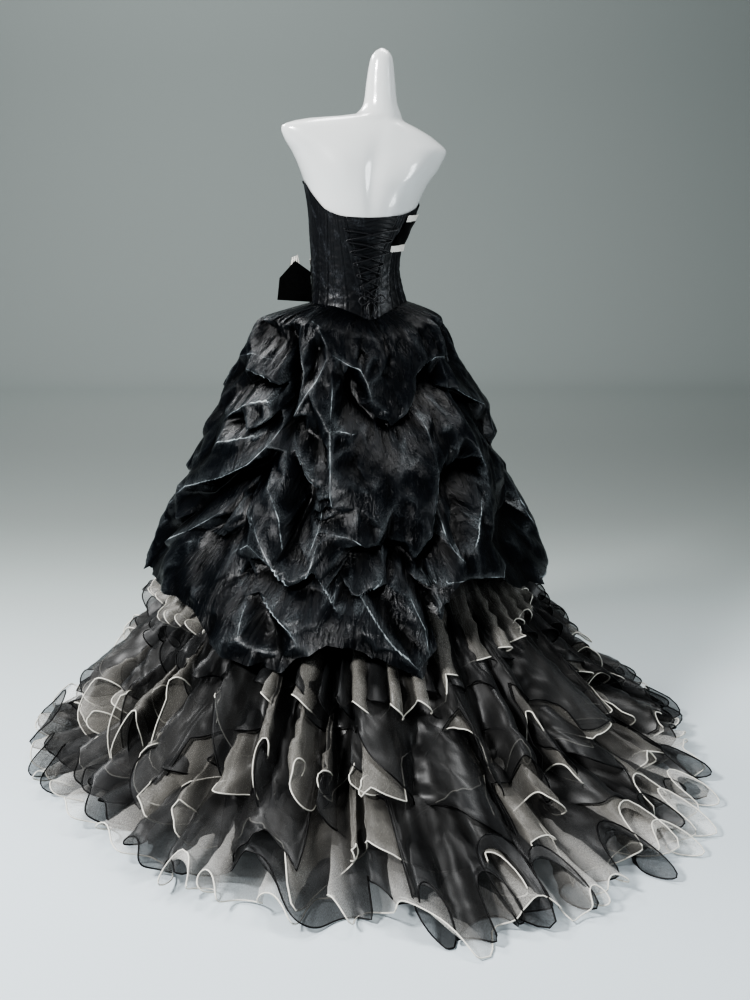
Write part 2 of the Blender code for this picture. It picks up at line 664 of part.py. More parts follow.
def moved_in(grid, distance):
    """A closed grid, clockwise from above and from the top down, moved in along its normals."""
    count = len(grid[0])
    moved = []
    for row_number, row in enumerate(grid):
        above = grid[max(0, row_number - 1)]
        below = grid[min(len(grid) - 1, row_number + 1)]
        line = []
        for column, point in enumerate(row):
            along = row[(column + 1) % count] - row[column - 1]
            down = below[column] - above[column]
            line.append(point - along.cross(down).normalized() * distance)
        moved.append(line)
    return moved


def add_overskirt(parent):
    """Six gores of the gathered overskirt."""
    angles = column_angles(GOWN_COLUMNS)
    outer = [[overskirt_point(angle, share) for angle in angles] for share in OVERSKIRT_SHARES]
    inner = moved_in(outer, CLOTH)
    for name, (start, end) in SKIRT_SEAMS.items():
        first = column_of(start, GOWN_COLUMNS)
        last = column_of(end, GOWN_COLUMNS)
        add_panel("overskirt_" + name, *parted(outer, inner, first, last), "satin", parent)


UNDER_SEAM = 0.0030         # the underskirt starts this far below the waist seam
UNDER_OVERSKIRT = 0.0010    # and closer to the form than the overskirt


def foundation_rows():
    """Outer rings of the underskirt, from the waist seam to the floor."""
    angles = column_angles(FORM_COLUMNS)
    top = [torso_point(angle, around(WAIST_SEAM, angle) - UNDER_SEAM,
                       FORM_CLEARANCE + CLOTH - UNDER_OVERSKIRT) for angle in angles]
    return [top] + [[ring_point(section, angle) for angle in angles] for section in FOUNDATION]


def add_foundation(parent):
    """Eight gores of the plain underskirt."""
    outer = foundation_rows()
    inner = moved_in(outer, CLOTH)
    inner[0] = [point - (point - Vector((0, 0, point.z))).normalized() * CLOTH
                for point in outer[0]]
    for name, (start, end) in FOUNDATION_SEAMS.items():
        first = column_of(start, FORM_COLUMNS)
        last = column_of(end, FORM_COLUMNS)
        add_panel("underskirt_" + name, *parted(outer, inner, first, last), "black", parent)


def on_foundation(angle, height):
    """Point on the flat-sided ring of the underskirt at one of its rows, or between two."""
    step = 2 * math.pi / FORM_COLUMNS
    place = (angle % (2 * math.pi)) / step
    column = math.floor(place)
    section = section_at(FOUNDATION, height)
    first = ring_point(section, column * step)
    second = ring_point(section, (column + 1) * step)
    return first.lerp(second, place - column)


def wave_columns(waves):
    """Angles at even steps along a hem, with the phase of the waves at each."""
    ring = [ring_point(waves.hem, 2 * math.pi * index / HEM_SAMPLES)
            for index in range(HEM_SAMPLES + 1)]
    lengths = [0.0]
    for first, second in zip(ring, ring[1:]):
        lengths.append(lengths[-1] + (second - first).length)
    columns = []
    count = waves.count * COLUMNS_PER_WAVE
    index = 0
    for column in range(count):
        target = lengths[-1] * column / count
        while lengths[index + 1] < target:
            index += 1
        share = (target - lengths[index]) / (lengths[index + 1] - lengths[index])
        angle = 2 * math.pi * (index + share) / HEM_SAMPLES
        phase = 2 * math.pi * waves.count * column / count
        phase += WAVE_DRIFTS[0] * math.sin(3 * angle + waves.uneven)
        phase += WAVE_DRIFTS[1] * math.sin(7 * angle)
        columns.append((angle, phase))
    return columns


def tier_grid(tier):
    """Rows of points of a ruffle, from its gathered top edge to its waving hem."""
    waves = WAVES[tier.waves]
    columns = wave_columns(waves)
    hem = [ring_point(waves.hem, angle) for angle, _ in columns]
    normals = plan_normals(hem)
    grid = []
    for step in range(TIER_STEPS + 1):
        share = step / TIER_STEPS
        row = []
        for (angle, phase), end, normal in zip(columns, hem, normals):
            top = on_foundation(angle, tier.top) + normal * tier.stand_off
            size = 1.0 + WAVE_SIZES * math.sin(4 * angle + waves.uneven)
            swing = waves.amplitude * size * share ** 1.2
            tangent = Vector((normal.y, -normal.x, 0))
            point = top.lerp(end, share ** tier.bow_out)
            point += normal * swing * math.cos(phase)
            point += tangent * swing * waves.curl * math.sin(2 * phase)
            hem_height = waves.hem.height + waves.lift * (0.5 + 0.5 * math.cos(phase)) * size
            point.z = tier.top + (hem_height - tier.top) * share ** tier.bow_down
            row.append(point)
        grid.append(row)
    return grid


def lining_grid(grid, lining):
    """The layer under a ruffle, which follows its waves and shows below its hem."""
    moved = moved_in(grid, lining.under)
    moved[0] = moved_in(grid, LINING_TOP)[0]
    for above, point in zip(moved[-2], moved[-1]):
        point += (point - above).normalized() * lining.longer
        point.z = max(point.z, CLOTH * 0.55)
    return moved


def add_ruffles(parent):
    """Short ruffles, lined flounces and the ruffle that lies on the floor."""
    for tier in TIERS:
        grid = tier_grid(tier)
        add_ring_wall(tier.name, grid, tier.colour, parent)
        if tier.lining:
            under = lining_grid(grid, tier.lining)
            add_ring_wall(tier.lining.name, under, tier.lining.colour, parent)


def main():
    for old in list(bpy.data.objects):
        bpy.data.objects.remove(old, do_unlink=True)
    collection = bpy.data.collections.new("ballgown")
    bpy.context.scene.collection.children.link(collection)
    stand = bpy.data.objects.new("gown_on_form", None)
    collection.objects.link(stand)
    add_form(stand)
    add_bodice(stand)
    add_laces(stand)
    add_sash(stand)
    add_tail(stand)
    add_foundation(stand)
    add_overskirt(stand)
    add_ruffles(stand)


main()
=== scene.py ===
# %% [markdown]
# # A laced ballgown on a white dress form
#
# The real object is a strapless gown with a boned corset, a picked-up satin overskirt and tiers
# of black and ivory organza ruffles, shown from behind on a glossy form. It could be sculpted as
# one shell, but it is sewn from many pieces, so each piece is its own object here. The packed
# model gives the frame: every piece of this lesson stays where its solid stands.

# %% Load the frame
import math
from collections import namedtuple

import bpy
import numpy as np
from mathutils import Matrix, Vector
from mathutils.geometry import delaunay_2d_cdt


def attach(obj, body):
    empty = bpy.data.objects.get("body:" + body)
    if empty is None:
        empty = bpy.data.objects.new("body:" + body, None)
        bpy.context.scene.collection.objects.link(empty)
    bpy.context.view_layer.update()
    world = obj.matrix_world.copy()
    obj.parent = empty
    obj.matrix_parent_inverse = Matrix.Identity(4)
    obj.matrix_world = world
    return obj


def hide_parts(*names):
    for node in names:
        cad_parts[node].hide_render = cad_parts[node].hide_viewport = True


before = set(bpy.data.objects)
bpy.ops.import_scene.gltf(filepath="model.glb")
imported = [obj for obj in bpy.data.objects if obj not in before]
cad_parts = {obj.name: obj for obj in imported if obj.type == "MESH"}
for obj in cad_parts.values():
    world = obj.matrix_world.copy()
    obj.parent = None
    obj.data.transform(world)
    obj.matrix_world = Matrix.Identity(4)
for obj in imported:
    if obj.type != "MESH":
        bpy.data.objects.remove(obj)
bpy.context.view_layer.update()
bpy.ops.object.select_all(action="DESELECT")

# %% [markdown]
# ## The camera
# The gown is photographed from behind, a little to the wearer's left, from about chest height.
# The camera stands 3.4 m from the form, and the lens gives a vertical angle of 40 degrees.

# %% Camera
CAMERA_TURN = math.radians(163)     # around the form, from its front
CAMERA_DISTANCE = 3.4
CAMERA_HEIGHT = 1.3
LOOK_AT = Vector((-0.040, 0.012, 0.55))
LENS = 49.45

bpy.ops.object.camera_add(location=(math.sin(CAMERA_TURN) * CAMERA_DISTANCE,
                                    -math.cos(CAMERA_TURN) * CAMERA_DISTANCE, CAMERA_HEIGHT))
camera = bpy.context.object
camera.name = "camera"
camera.rotation_euler = (LOOK_AT - camera.location).to_track_quat("-Z", "Y").to_euler()
camera.data.lens = LENS
bpy.context.scene.camera = camera
print("camera at", [round(x, 3) for x in camera.location])

# %% [markdown]
# ## Sizes of the gown
# The solids were drawn from rings at certain heights: half widths and half depths of an
# egg-shaped section. The fine surfaces here are worked out from the same rings, but follow a
# smooth curve from one to the next, so they keep the solid's form without its flat facets.

# %% Tables of sections
Section = namedtuple("Section", "height left right front back centre_x centre_y turn")

FORM = [Section(*row) for row in (
    # height left   right  front  back   cx      cy     turn
    (1.645, 0.004, 0.004, 0.004, 0.004, -0.060, 0.004, 0),
    (1.640, 0.014, 0.014, 0.014, 0.014, -0.060, 0.004, 0),
    (1.622, 0.026, 0.026, 0.026, 0.026, -0.059, 0.004, 0),
    (1.570, 0.034, 0.034, 0.034, 0.034, -0.057, 0.004, 0),
    (1.520, 0.040, 0.040, 0.040, 0.042, -0.056, 0.004, 0),
    (1.494, 0.058, 0.052, 0.046, 0.050, -0.054, 0.002, 0),
    (1.480, 0.190, 0.062, 0.050, 0.056, -0.050, 0.000, 0),
    (1.464, 0.232, 0.098, 0.058, 0.066, -0.046, 0.000, 0),
    (1.436, 0.210, 0.164, 0.068, 0.080, -0.030, 0.000, 0),
    (1.404, 0.180, 0.204, 0.084, 0.092, -0.020, 0.000, 0),
    (1.370, 0.153, 0.196, 0.104, 0.102, -0.010, 0.000, 0),
    (1.330, 0.131, 0.172, 0.124, 0.109, -0.003, 0.000, 0),
    (1.290, 0.119, 0.153, 0.133, 0.110, 0.000, 0.000, 0),
    (1.250, 0.115, 0.138, 0.129, 0.107, 0.000, 0.000, 0),
    (1.210, 0.114, 0.118, 0.116, 0.102, 0.000, 0.000, 0),
    (1.170, 0.112, 0.102, 0.103, 0.097, 0.000, 0.000, 0),
    (1.130, 0.111, 0.098, 0.094, 0.093, 0.000, 0.000, 0),
    (1.090, 0.111, 0.105, 0.090, 0.091, 0.000, 0.000, 0),
    (1.040, 0.118, 0.121, 0.094, 0.097, 0.000, 0.000, 0),
    (0.980, 0.134, 0.137, 0.104, 0.112, 0.000, 0.000, 0),
    (0.890, 0.146, 0.146, 0.114, 0.130, 0.000, 0.000, 0),
    (0.800, 0.142, 0.140, 0.108, 0.122, 0.000, 0.000, 0),
    (0.780, 0.122, 0.120, 0.090, 0.102, 0.000, 0.000, 0),
)]

FOUNDATION = [Section(*row) for row in (
    (0.900, 0.200, 0.178, 0.155, 0.180, 0.000, 0.000, 0),
    (0.650, 0.305, 0.268, 0.230, 0.352, 0.000, 0.000, 5),
    (0.500, 0.365, 0.315, 0.270, 0.450, 0.000, 0.000, 7),
    (0.420, 0.395, 0.340, 0.290, 0.500, 0.000, 0.000, 8),
    (0.340, 0.428, 0.370, 0.312, 0.552, 0.000, 0.000, 8),
    (0.200, 0.485, 0.430, 0.355, 0.625, 0.000, 0.030, 8),
    (0.090, 0.535, 0.485, 0.400, 0.690, 0.000, 0.060, 8),
    (0.004, 0.575, 0.525, 0.435, 0.750, 0.000, 0.090, 8),
)]

OVERSKIRT = [Section(*row) for row in (
    (1.060, 0.220, 0.190, 0.150, 0.152, 0.000, 0.000, 0),
    (1.000, 0.238, 0.206, 0.165, 0.168, 0.000, 0.000, 0),
    (0.920, 0.268, 0.228, 0.200, 0.225, 0.000, 0.000, 1),
    (0.860, 0.294, 0.252, 0.235, 0.272, 0.000, 0.000, 2),
    (0.780, 0.327, 0.296, 0.265, 0.335, 0.000, 0.000, 3),
    (0.700, 0.362, 0.328, 0.290, 0.400, 0.000, 0.000, 4),
    (0.620, 0.398, 0.350, 0.320, 0.460, 0.000, 0.000, 5),
    (0.540, 0.442, 0.378, 0.345, 0.520, 0.000, 0.000, 6),
    (0.460, 0.488, 0.410, 0.370, 0.580, 0.000, 0.000, 7),
    (0.400, 0.520, 0.434, 0.392, 0.622, 0.000, 0.000, 8),
    (0.300, 0.566, 0.474, 0.420, 0.690, 0.000, 0.000, 8),
)]

# Heights that run around the gown: angle in degrees from the centre back, height
WAIST_SEAM = ((-180, 1.000), (-135, 1.036), (-90, 1.050), (-45, 1.046), (-20, 1.030), (0, 1.014),
              (20, 1.030), (45, 1.046), (90, 1.050), (135, 1.036), (180, 1.000))
BODICE_TOP = ((-180, 1.312), (-165, 1.335), (-140, 1.345), (-115, 1.322), (-90, 1.288),
              (-60, 1.272), (-30, 1.257), (0, 1.253), (30, 1.256), (55, 1.272), (75, 1.306),
              (95, 1.338), (120, 1.338), (145, 1.347), (165, 1.337), (180, 1.312))
OVERSKIRT_HEM = ((-180, 0.390), (-155, 0.430), (-130, 0.385), (-105, 0.425), (-73, 0.408),
                 (-48, 0.420), (-30, 0.478), (-16, 0.490), (-8, 0.385), (-2, 0.322), (6, 0.352),
                 (18, 0.378), (30, 0.318), (42, 0.325), (56, 0.390), (78, 0.402), (94, 0.394),
                 (115, 0.430), (140, 0.388), (160, 0.430), (180, 0.390))
print("sections:", len(FORM), len(FOUNDATION), len(OVERSKIRT))

# %% Curves through the tables
def smooth(places, values, at):
    """Smooth curve through a table's rows, which never swings past them."""
    places = np.asarray(places, dtype=float)
    values = np.asarray(values, dtype=float)
    steps = np.diff(places)
    slopes = np.diff(values) / steps
    tangents = np.zeros_like(values)
    product = slopes[:-1] * slopes[1:]
    total = slopes[:-1] + slopes[1:]
    inner = np.divide(2 * product, total, out=np.zeros_like(product), where=product > 0)
    tangents[1:-1] = inner
    tangents[0], tangents[-1] = slopes[0], slopes[-1]
    index = np.clip(np.searchsorted(places, at, side="right") - 1, 0, len(steps) - 1)
    step = steps[index]
    share = np.clip((at - places[index]) / step, 0.0, 1.0)
    keep = 1 - share
    return (values[index] * keep * keep * (1 + 2 * share)
            + values[index + 1] * share * share * (3 - 2 * share)
            + step * tangents[index] * share * keep * keep
            - step * tangents[index + 1] * share * share * keep)


def around(table, angles):
    """Height of an edge that runs once around the gown, at angles in radians."""
    degrees, heights = np.array(table, dtype=float).T
    degrees = np.concatenate((degrees[:-1] - 360, degrees, degrees[1:] + 360))
    heights = np.concatenate((heights[:-1], heights, heights[1:]))
    turned = (np.degrees(angles) + 180) % 360 - 180
    return smooth(degrees, heights, turned)


def ring(table, angles, heights, out=0.0):
    """Points of the smooth egg-shaped body that a table of sections describes."""
    rows = np.array(table, dtype=float)[::-1]
    left, right, front, back, centre_x, centre_y, turn = (
        smooth(rows[:, 0], rows[:, column], heights) for column in range(1, 8))
    sine, cosine = np.sin(angles), np.cos(angles)
    x = (np.where(sine > 0, left, right) + out) * sine
    y = (np.where(cosine > 0, back, front) + out) * cosine
    turn = np.radians(turn)
    return np.stack((x * np.cos(turn) + y * np.sin(turn) + centre_x,
                     y * np.cos(turn) - x * np.sin(turn) + centre_y,
                     np.broadcast_to(heights, x.shape)), axis=-1)


def turns(count):
    """Even angles around the gown."""
    return 2 * np.pi * np.arange(count) / count


print("waist seam at the back:", around(WAIST_SEAM, np.array([0.0])))

# %% Cloth from a grid of points
def quads_of(rows, columns, closed):
    """Corner numbers of a grid's faces; rows run down, columns clockwise seen from above."""
    across = columns if closed else columns - 1
    row, column = np.meshgrid(np.arange(rows - 1), np.arange(across), indexing="ij")
    beside = (column + 1) % columns
    corners = (row * columns + column, row * columns + beside,
               (row + 1) * columns + beside, (row + 1) * columns + column)
    return np.stack(corners, axis=-1).reshape(-1, 4)


def lengths_across(grid, closed):
    """Running length along every row of a grid."""
    ends = np.concatenate((grid, grid[:, :1]), axis=1) if closed else grid
    steps = np.linalg.norm(np.diff(ends, axis=1), axis=2)
    return np.concatenate((np.zeros((len(grid), 1)), np.cumsum(steps, axis=1)), axis=1)


def running_length(points):
    """Length along a line of points up to each of them."""
    steps = np.linalg.norm(np.diff(points, axis=0), axis=1)
    return np.concatenate(([0], np.cumsum(steps)))


def lengths_down(grid):
    """Running length down every column of a grid."""
    steps = np.linalg.norm(np.diff(grid, axis=0), axis=2)
    return np.concatenate((np.zeros((1, grid.shape[1])), np.cumsum(steps, axis=0)), axis=0)


def mesh_object(name, points, faces, finish):
    """Smoothly shaded object from points and faces."""
    data = bpy.data.meshes.new(name)
    data.from_pydata(points, [], faces)
    data.shade_smooth()
    data.materials.append(finish)
    made = bpy.data.objects.new(name, data)
    bpy.context.scene.collection.objects.link(made)
    return made


def cloth_mesh(name, grid, closed, finish, **marks):
    """Object from a grid, with the cloth's own lengths in metres as its UV map."""
    rows, columns = grid.shape[:2]
    made = mesh_object(name, grid.reshape(-1, 3).tolist(),
                       quads_of(rows, columns, closed).tolist(), finish)
    spans = columns if closed else columns - 1
    width = lengths_across(grid, closed)[:, -1].max()
    share = np.arange(spans + 1) / spans
    down = lengths_down(grid)
    row, column = np.divmod(np.arange((rows - 1) * spans), spans)
    left, right = share[column] * width, share[column + 1] * width
    beside = (column + 1) % columns
    places = np.stack((left, down[row, column], right, down[row, beside],
                       right, down[row + 1, beside], left, down[row + 1, column]), axis=-1)
    made.data.uv_layers.new(name="cloth").data.foreach_set("uv", places.ravel())
    for mark, values in marks.items():
        made.data.attributes.new(mark, "FLOAT", "POINT").data.foreach_set("value", values.ravel())
    return made


def area_of(grid, closed):
    """Surface of the cloth in square metres."""
    ends = np.concatenate((grid, grid[:, :1]), axis=1) if closed else grid
    first = ends[1:, 1:] - ends[:-1, :-1]
    second = ends[1:, :-1] - ends[:-1, 1:]
    return float(np.linalg.norm(np.cross(first, second), axis=2).sum() / 2)


def stand_for(piece, node):
    """Declare a piece's body and the solid that it replaces."""
    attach(piece, "root")
    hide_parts(node)


LEAST_FILL = 0.35           # a sheet fills at least this share of its flat rectangle


def cut_from(piece, grid, closed):
    """Print the size that a sheet of cloth lay flat at."""
    width = lengths_across(grid, closed)[:, -1].max()
    length = lengths_down(grid)[-1].max()
    area = area_of(grid, closed)
    width = min(width, area / (LEAST_FILL * length))
    area = min(area, width * length)
    print(f"{piece.name}: cut {width:.2f} x {length:.2f} m, {area:.2f} m2")


flat = np.stack([*np.meshgrid(np.linspace(0, 0.3, 4), np.linspace(0, 0.2, 3)), np.zeros((3, 4))],
                axis=-1)
print("a flat sheet of 0.3 by 0.2 m measures", round(area_of(flat, False), 4), "m2")

# %% [markdown]
# ## Finishes
# Each finish is a small function that builds its nodes. Cloth patterns read the UV map, which
# holds the cloth's own lengths in metres, so a weave or a crush streak follows the cloth round
# its folds. Hard pieces read Object coordinates.

# %% Helpers for finishes
def four(colour):
    """Colour with its alpha, from three numbers or one grey."""
    return (*colour, 1) if hasattr(colour, "__len__") else (colour, colour, colour, 1)


class Finish:
    """A Principled finish, with methods that add the nodes which feed it."""

    def __init__(self, name, **inputs):
        self.material = bpy.data.materials.new(name)
        self.material.use_nodes = True
        self.nodes = self.material.node_tree.nodes
        self.links = self.material.node_tree.links
        self.shader = self.nodes["Principled BSDF"]
        for key, value in inputs.items():
            self.shader.inputs[key.replace("_", " ")].default_value = value

    def feed(self, name, value):
        """Link a value to one of the finish's inputs."""
        self.links.new(value, self.shader.inputs[name])

    def places(self, kind):
        """Coordinates: UV in the cloth's own metres, or Object in the frame's."""
        return self.nodes.new("ShaderNodeTexCoord").outputs[kind]

    def attribute(self, name):
        """A value that the mesh keeps at each point."""
        node = self.nodes.new("ShaderNodeAttribute")
        node.attribute_name = name
        return node.outputs["Fac"]

    def noise(self, places, scale, detail=2.0, roughness=0.5, stretch=(1, 1, 1)):
        """Noise on coordinates, stretched along each axis."""
        mapping = self.nodes.new("ShaderNodeMapping")
        mapping.inputs["Scale"].default_value = stretch
        self.links.new(places, mapping.inputs["Vector"])
        node = self.nodes.new("ShaderNodeTexNoise")
        node.inputs["Scale"].default_value = scale
        node.inputs["Detail"].default_value = detail
        node.inputs["Roughness"].default_value = roughness
        self.links.new(mapping.outputs["Vector"], node.inputs["Vector"])
        return node.outputs["Fac"]

    def reckon(self, operation, first, second):
        """One of the arithmetic nodes on two values, each a socket or a number."""
        node = self.nodes.new("ShaderNodeMath")
        node.operation = operation
        for socket, value in zip(node.inputs, (first, second)):
            if hasattr(value, "default_value"):
                self.links.new(value, socket)
            else:
                socket.default_value = value
        return node.outputs["Value"]

    def product(self, first, *others):
        """Values multiplied together."""
        for other in others:
            first = self.reckon("MULTIPLY", first, other)
        return first

    def total(self, first, *others):
        """Values added together."""
        for other in others:
            first = self.reckon("ADD", first, other)
        return first

    def shades(self, value, first, *between, last, interpolation="LINEAR"):
        """Colour that follows a value through stops, each a place from 0 to 1 and a colour."""
        node = self.nodes.new("ShaderNodeValToRGB")
        node.color_ramp.interpolation = interpolation
        stops = node.color_ramp.elements
        for stop, (place, colour) in zip(stops, (first, last)):
            stop.position = place
            stop.color = four(colour)
        for place, colour in between:
            stops.new(place).color = four(colour)
        self.links.new(value, node.inputs["Fac"])
        return node.outputs["Color"]

    def ramp(self, value, low, high, dark, light):
        """Colour or grey that goes from dark to light as a value goes from low to high."""
        return self.shades(value, (low, dark), last=(high, light))

    def darkened(self, colour, shade):
        """A colour multiplied by a shade from 0 to 1, through a Mix node's colour sockets."""
        node = self.nodes.new("ShaderNodeMix")
        node.data_type = "RGBA"
        node.blend_type = "MULTIPLY"
        node.inputs["Factor"].default_value = 1.0
        self.links.new(colour, node.inputs[6])
        self.links.new(shade, node.inputs[7])
        return node.outputs[2]

    def bump(self, height, strength, distance, under=None):
        """Bump from a height, over an earlier bump where there is one."""
        node = self.nodes.new("ShaderNodeBump")
        node.inputs["Strength"].default_value = strength
        node.inputs["Distance"].default_value = distance
        self.links.new(height, node.inputs["Height"])
        if under:
            self.links.new(under, node.inputs["Normal"])
        self.feed("Normal", node.outputs["Normal"])
        return node.outputs["Normal"]


print("a grey of 0.5 as a colour:", four(0.5))

# %% [markdown]
# ## Crushed satin and velvet
# Crushed satin is nearly black, with bright creases and patches of fine speckled sheen where its
# pile is pressed. One glossy black would show none of that, so the overskirt's mesh tells the
# finish how far each point is from a ridge and how deep it lies; from these, shade in the folds,
# highlights on the ridges and the speckled sheen are painted into its colour, and noise breaks the
# shine up.

# %% Satin of the overskirt
GRAIN = {"scale": 420, "detail": 3, "roughness": 0.8}
# The colour below paints light: highlights along ridges, speckled sheen and shade in folds
LINE_HALF_WIDTH = 0.0014    # the shine along a ridge, where it is widest
GLOW_FADE = 60              # how quickly the speckle thins out beside a ridge, per metre
SPECKLE_EVERYWHERE, SPECKLE_ON_CREST, SPECKLE_BY_RIDGE = 0.20, 0.55, 0.22
SPECKLE_SHARE, SHINE_SHARE = 0.42, 0.70
# The satin's colours: painted shade at the bottom of folds, the flat facets, painted highlight
SATIN_FOLD_SHADE = (0.0002, 0.0003, 0.0005)
SATIN_FLAT = (0.0044, 0.0058, 0.0080)
SATIN_PAINTED_HIGHLIGHT = (0.50, 0.55, 0.57)
FLAT_TONE = 0.10            # flat facets stand here between deep (0) and bright (1)


def crushed_satin():
    """Near-black satin: painted shade in deep folds, painted highlights on narrow ridges, and speckled
    sheen painted in patches.
    """
    satin = Finish("crushed_satin", Specular_IOR_Level=0.20)
    uv = satin.places("UV")
    grain = satin.noise(uv, **GRAIN, stretch=(1.0, 0.5, 1))
    patches = satin.noise(uv, scale=9, detail=3, roughness=0.65)
    beside = satin.reckon("ABSOLUTE", satin.attribute("ridge"), 0.0)
    strength, crest = satin.attribute("edge"), satin.attribute("crest")
    wander = satin.noise(uv, scale=55, detail=3, roughness=0.7)
    # Painted highlight: narrow broken bright lines along ridges that stand out, on their crests
    line = satin.reckon("LESS_THAN", beside, satin.product(wander, LINE_HALF_WIDTH))
    broken = satin.ramp(satin.noise(uv, scale=30, detail=3, roughness=0.7), 0.36, 0.56, 0.0, 1.0)
    shine = satin.product(line, broken, strength, crest)
    # Painted sheen: speckle that lightens the colour, strongest on crests and beside ridges
    glow = satin.ramp(satin.product(beside, GLOW_FADE), 0.0, 0.9, 1.0, 0.0)
    amount = satin.total(satin.product(crest, SPECKLE_ON_CREST),
                         satin.product(glow, strength, SPECKLE_BY_RIDGE), SPECKLE_EVERYWHERE)
    speckle = satin.product(satin.ramp(grain, 0.44, 0.70, 0.0, 1.0),
                            satin.ramp(patches, 0.42, 0.62, 0.10, 1.0), amount)
    # Painted shade: the colour darkens towards the bottom of each fold
    depth = satin.ramp(satin.attribute("fold"), 0.30, 0.85, 0.0, FLAT_TONE)
    tone = satin.total(depth, satin.product(speckle, SPECKLE_SHARE),
                       satin.product(shine, SHINE_SHARE))
    satin.feed("Base Color", satin.shades(tone, (0.0, SATIN_FOLD_SHADE), (FLAT_TONE, SATIN_FLAT),
                                          last=(1.0, SATIN_PAINTED_HIGHLIGHT)))
    satin.feed("Roughness", satin.ramp(patches, 0.35, 0.68, 0.34, 0.17))
    crush = satin.bump(satin.noise(uv, scale=36, detail=4, roughness=0.6), 0.40, 0.008)
    satin.bump(grain, 0.35, 0.0012, under=crush)
    return satin.material


SATIN = crushed_satin()
print("finish:", SATIN.name, "with", len(SATIN.node_tree.nodes), "nodes")

# %% Satin of the corset, and velvet
def bodice_satin():
    """The same satin, smooth over the boned panels."""
    satin = Finish("bodice_satin", Specular_IOR_Level=0.36)
    uv = satin.places("UV")
    grain = satin.noise(uv, **GRAIN, stretch=(1.0, 0.4, 1))
    patches = satin.noise(uv, scale=16, detail=3, roughness=0.65)
    # Painted sheen: patches of fine speckle lighten the near-black colour
    speckle = satin.product(satin.ramp(grain, 0.46, 0.70, 0.0, 0.8),
                            satin.ramp(patches, 0.50, 0.66, 0.06, 1.0))
    satin.feed("Base Color", satin.ramp(speckle, 0.0, 1.0, (0.0030, 0.0036, 0.0052),
                                        (0.17, 0.18, 0.20)))
    satin.feed("Roughness", satin.ramp(patches, 0.35, 0.65, 0.50, 0.34))
    soft = satin.bump(satin.noise(uv, scale=30, detail=4, roughness=0.6), 0.2, 0.006)
    satin.bump(grain, 0.3, 0.0008, under=soft)
    return satin.material


def deep_velvet():
    """Velvet that swallows nearly all light, with a short nap."""
    velvet = Finish("deep_velvet", Roughness=1.0, Specular_IOR_Level=0.1, Sheen_Weight=0.12,
                    Sheen_Roughness=0.4)
    uv = velvet.places("UV")
    nap = velvet.noise(uv, scale=120, detail=4, roughness=0.6)
    velvet.feed("Base Color", velvet.ramp(nap, 0.3, 0.75, 0.0015, 0.006))
    velvet.bump(velvet.noise(uv, scale=900), 0.4, 0.001)
    return velvet.material


BODICE = bodice_satin()
VELVET = deep_velvet()
print("finishes:", BODICE.name, VELVET.name)

# %% [markdown]
# ## Organza, tulle and cord
# Organza is a stiff sheer weave: what lies behind it shows through, and its folds look darker
# inside. Glass-like refraction would be slow and wrong for threads with gaps, so the finish is
# partly transparent by a fine weave. The mesh says how deep in a fold each point lies, and that
# shade is painted into the colour, as is a cloudy sheen.

# %% Sheer cloths and their hem cords
def organza(name, thin, thick, see_through, gleam, sheen, shaded=True):
    """Sheer crisp cloth: a fine weave, a soft cloudy sheen painted into its colour, even transparency.
    """
    cloth = Finish(name, Specular_IOR_Level=gleam, Sheen_Weight=sheen, Sheen_Roughness=0.35)
    uv = cloth.places("UV")
    clouds = cloth.noise(uv, scale=15, detail=3, stretch=(1.0, 0.16, 1))
    weave = cloth.noise(uv, scale=700, stretch=(1.0, 0.2, 1))
    # Painted sheen: cloudy streaks lift the colour from thin to thick; painted shade darkens it in
    # folds
    tone = cloth.ramp(clouds, 0.35, 0.68, thin, thick)
    if shaded:
        tone = cloth.darkened(tone, cloth.ramp(cloth.attribute("depth"), 0.05, 0.85, 0.05, 1.0))
    cloth.feed("Base Color", tone)
    cloth.feed("Roughness", cloth.ramp(clouds, 0.30, 0.72, 0.50, 0.30))
    cloth.feed("Alpha", cloth.ramp(weave, 0.3, 0.7, *see_through))
    soft = cloth.bump(clouds, 0.06, 0.012)
    cloth.bump(weave, 0.2, 0.0006, under=soft)
    return cloth.material


def cord_finish(name, colour, gleam):
    """Fine twisted cord."""
    cord = Finish(name, Base_Color=four(colour), Roughness=0.42, Specular_IOR_Level=gleam)
    cord.bump(cord.noise(cord.places("Object"), scale=900), 0.25, 0.0005)
    return cord.material


BLACK_ORGANZA = organza("black_organza", (0.002, 0.002, 0.0025), (0.060, 0.062, 0.064),
                        see_through=(0.55, 0.78), gleam=0.45, sheen=0.03)
IVORY_ORGANZA = organza("ivory_organza", (0.20, 0.191, 0.174), (0.40, 0.385, 0.353),
                        see_through=(0.32, 0.54), gleam=0.6, sheen=0.08)
IVORY_TULLE = organza("ivory_tulle", (0.74, 0.72, 0.68), (0.86, 0.85, 0.82),
                      see_through=(0.20, 0.42), gleam=0.3, sheen=0.10)
IVORY_PLEATS = organza("ivory_pleats", (0.66, 0.63, 0.57), (0.84, 0.81, 0.75),
                       see_through=(0.92, 0.98), gleam=0.5, sheen=0.1, shaded=False)
BLACK_CORD = cord_finish("black_cord", (0.0015, 0.0015, 0.002), gleam=0.3)
IVORY_CORD = cord_finish("ivory_cord", (0.70, 0.68, 0.62), gleam=0.5)
LINING = Finish("plain_black", Base_Color=(0.012, 0.012, 0.014, 1), Roughness=0.7).material
print("sheer finishes:", BLACK_ORGANZA.name, IVORY_ORGANZA.name, IVORY_TULLE.name)

# %% Form and stand
def gloss_form():
    """White lacquer over glass fibre, very slightly uneven."""
    gloss = Finish("gloss_form", Base_Color=(0.70, 0.71, 0.70, 1), Roughness=0.22,
                   Coat_Weight=0.5, Coat_Roughness=0.08)
    gloss.bump(gloss.noise(gloss.places("Object"), scale=6), 0.04, 0.01)
    return gloss.material


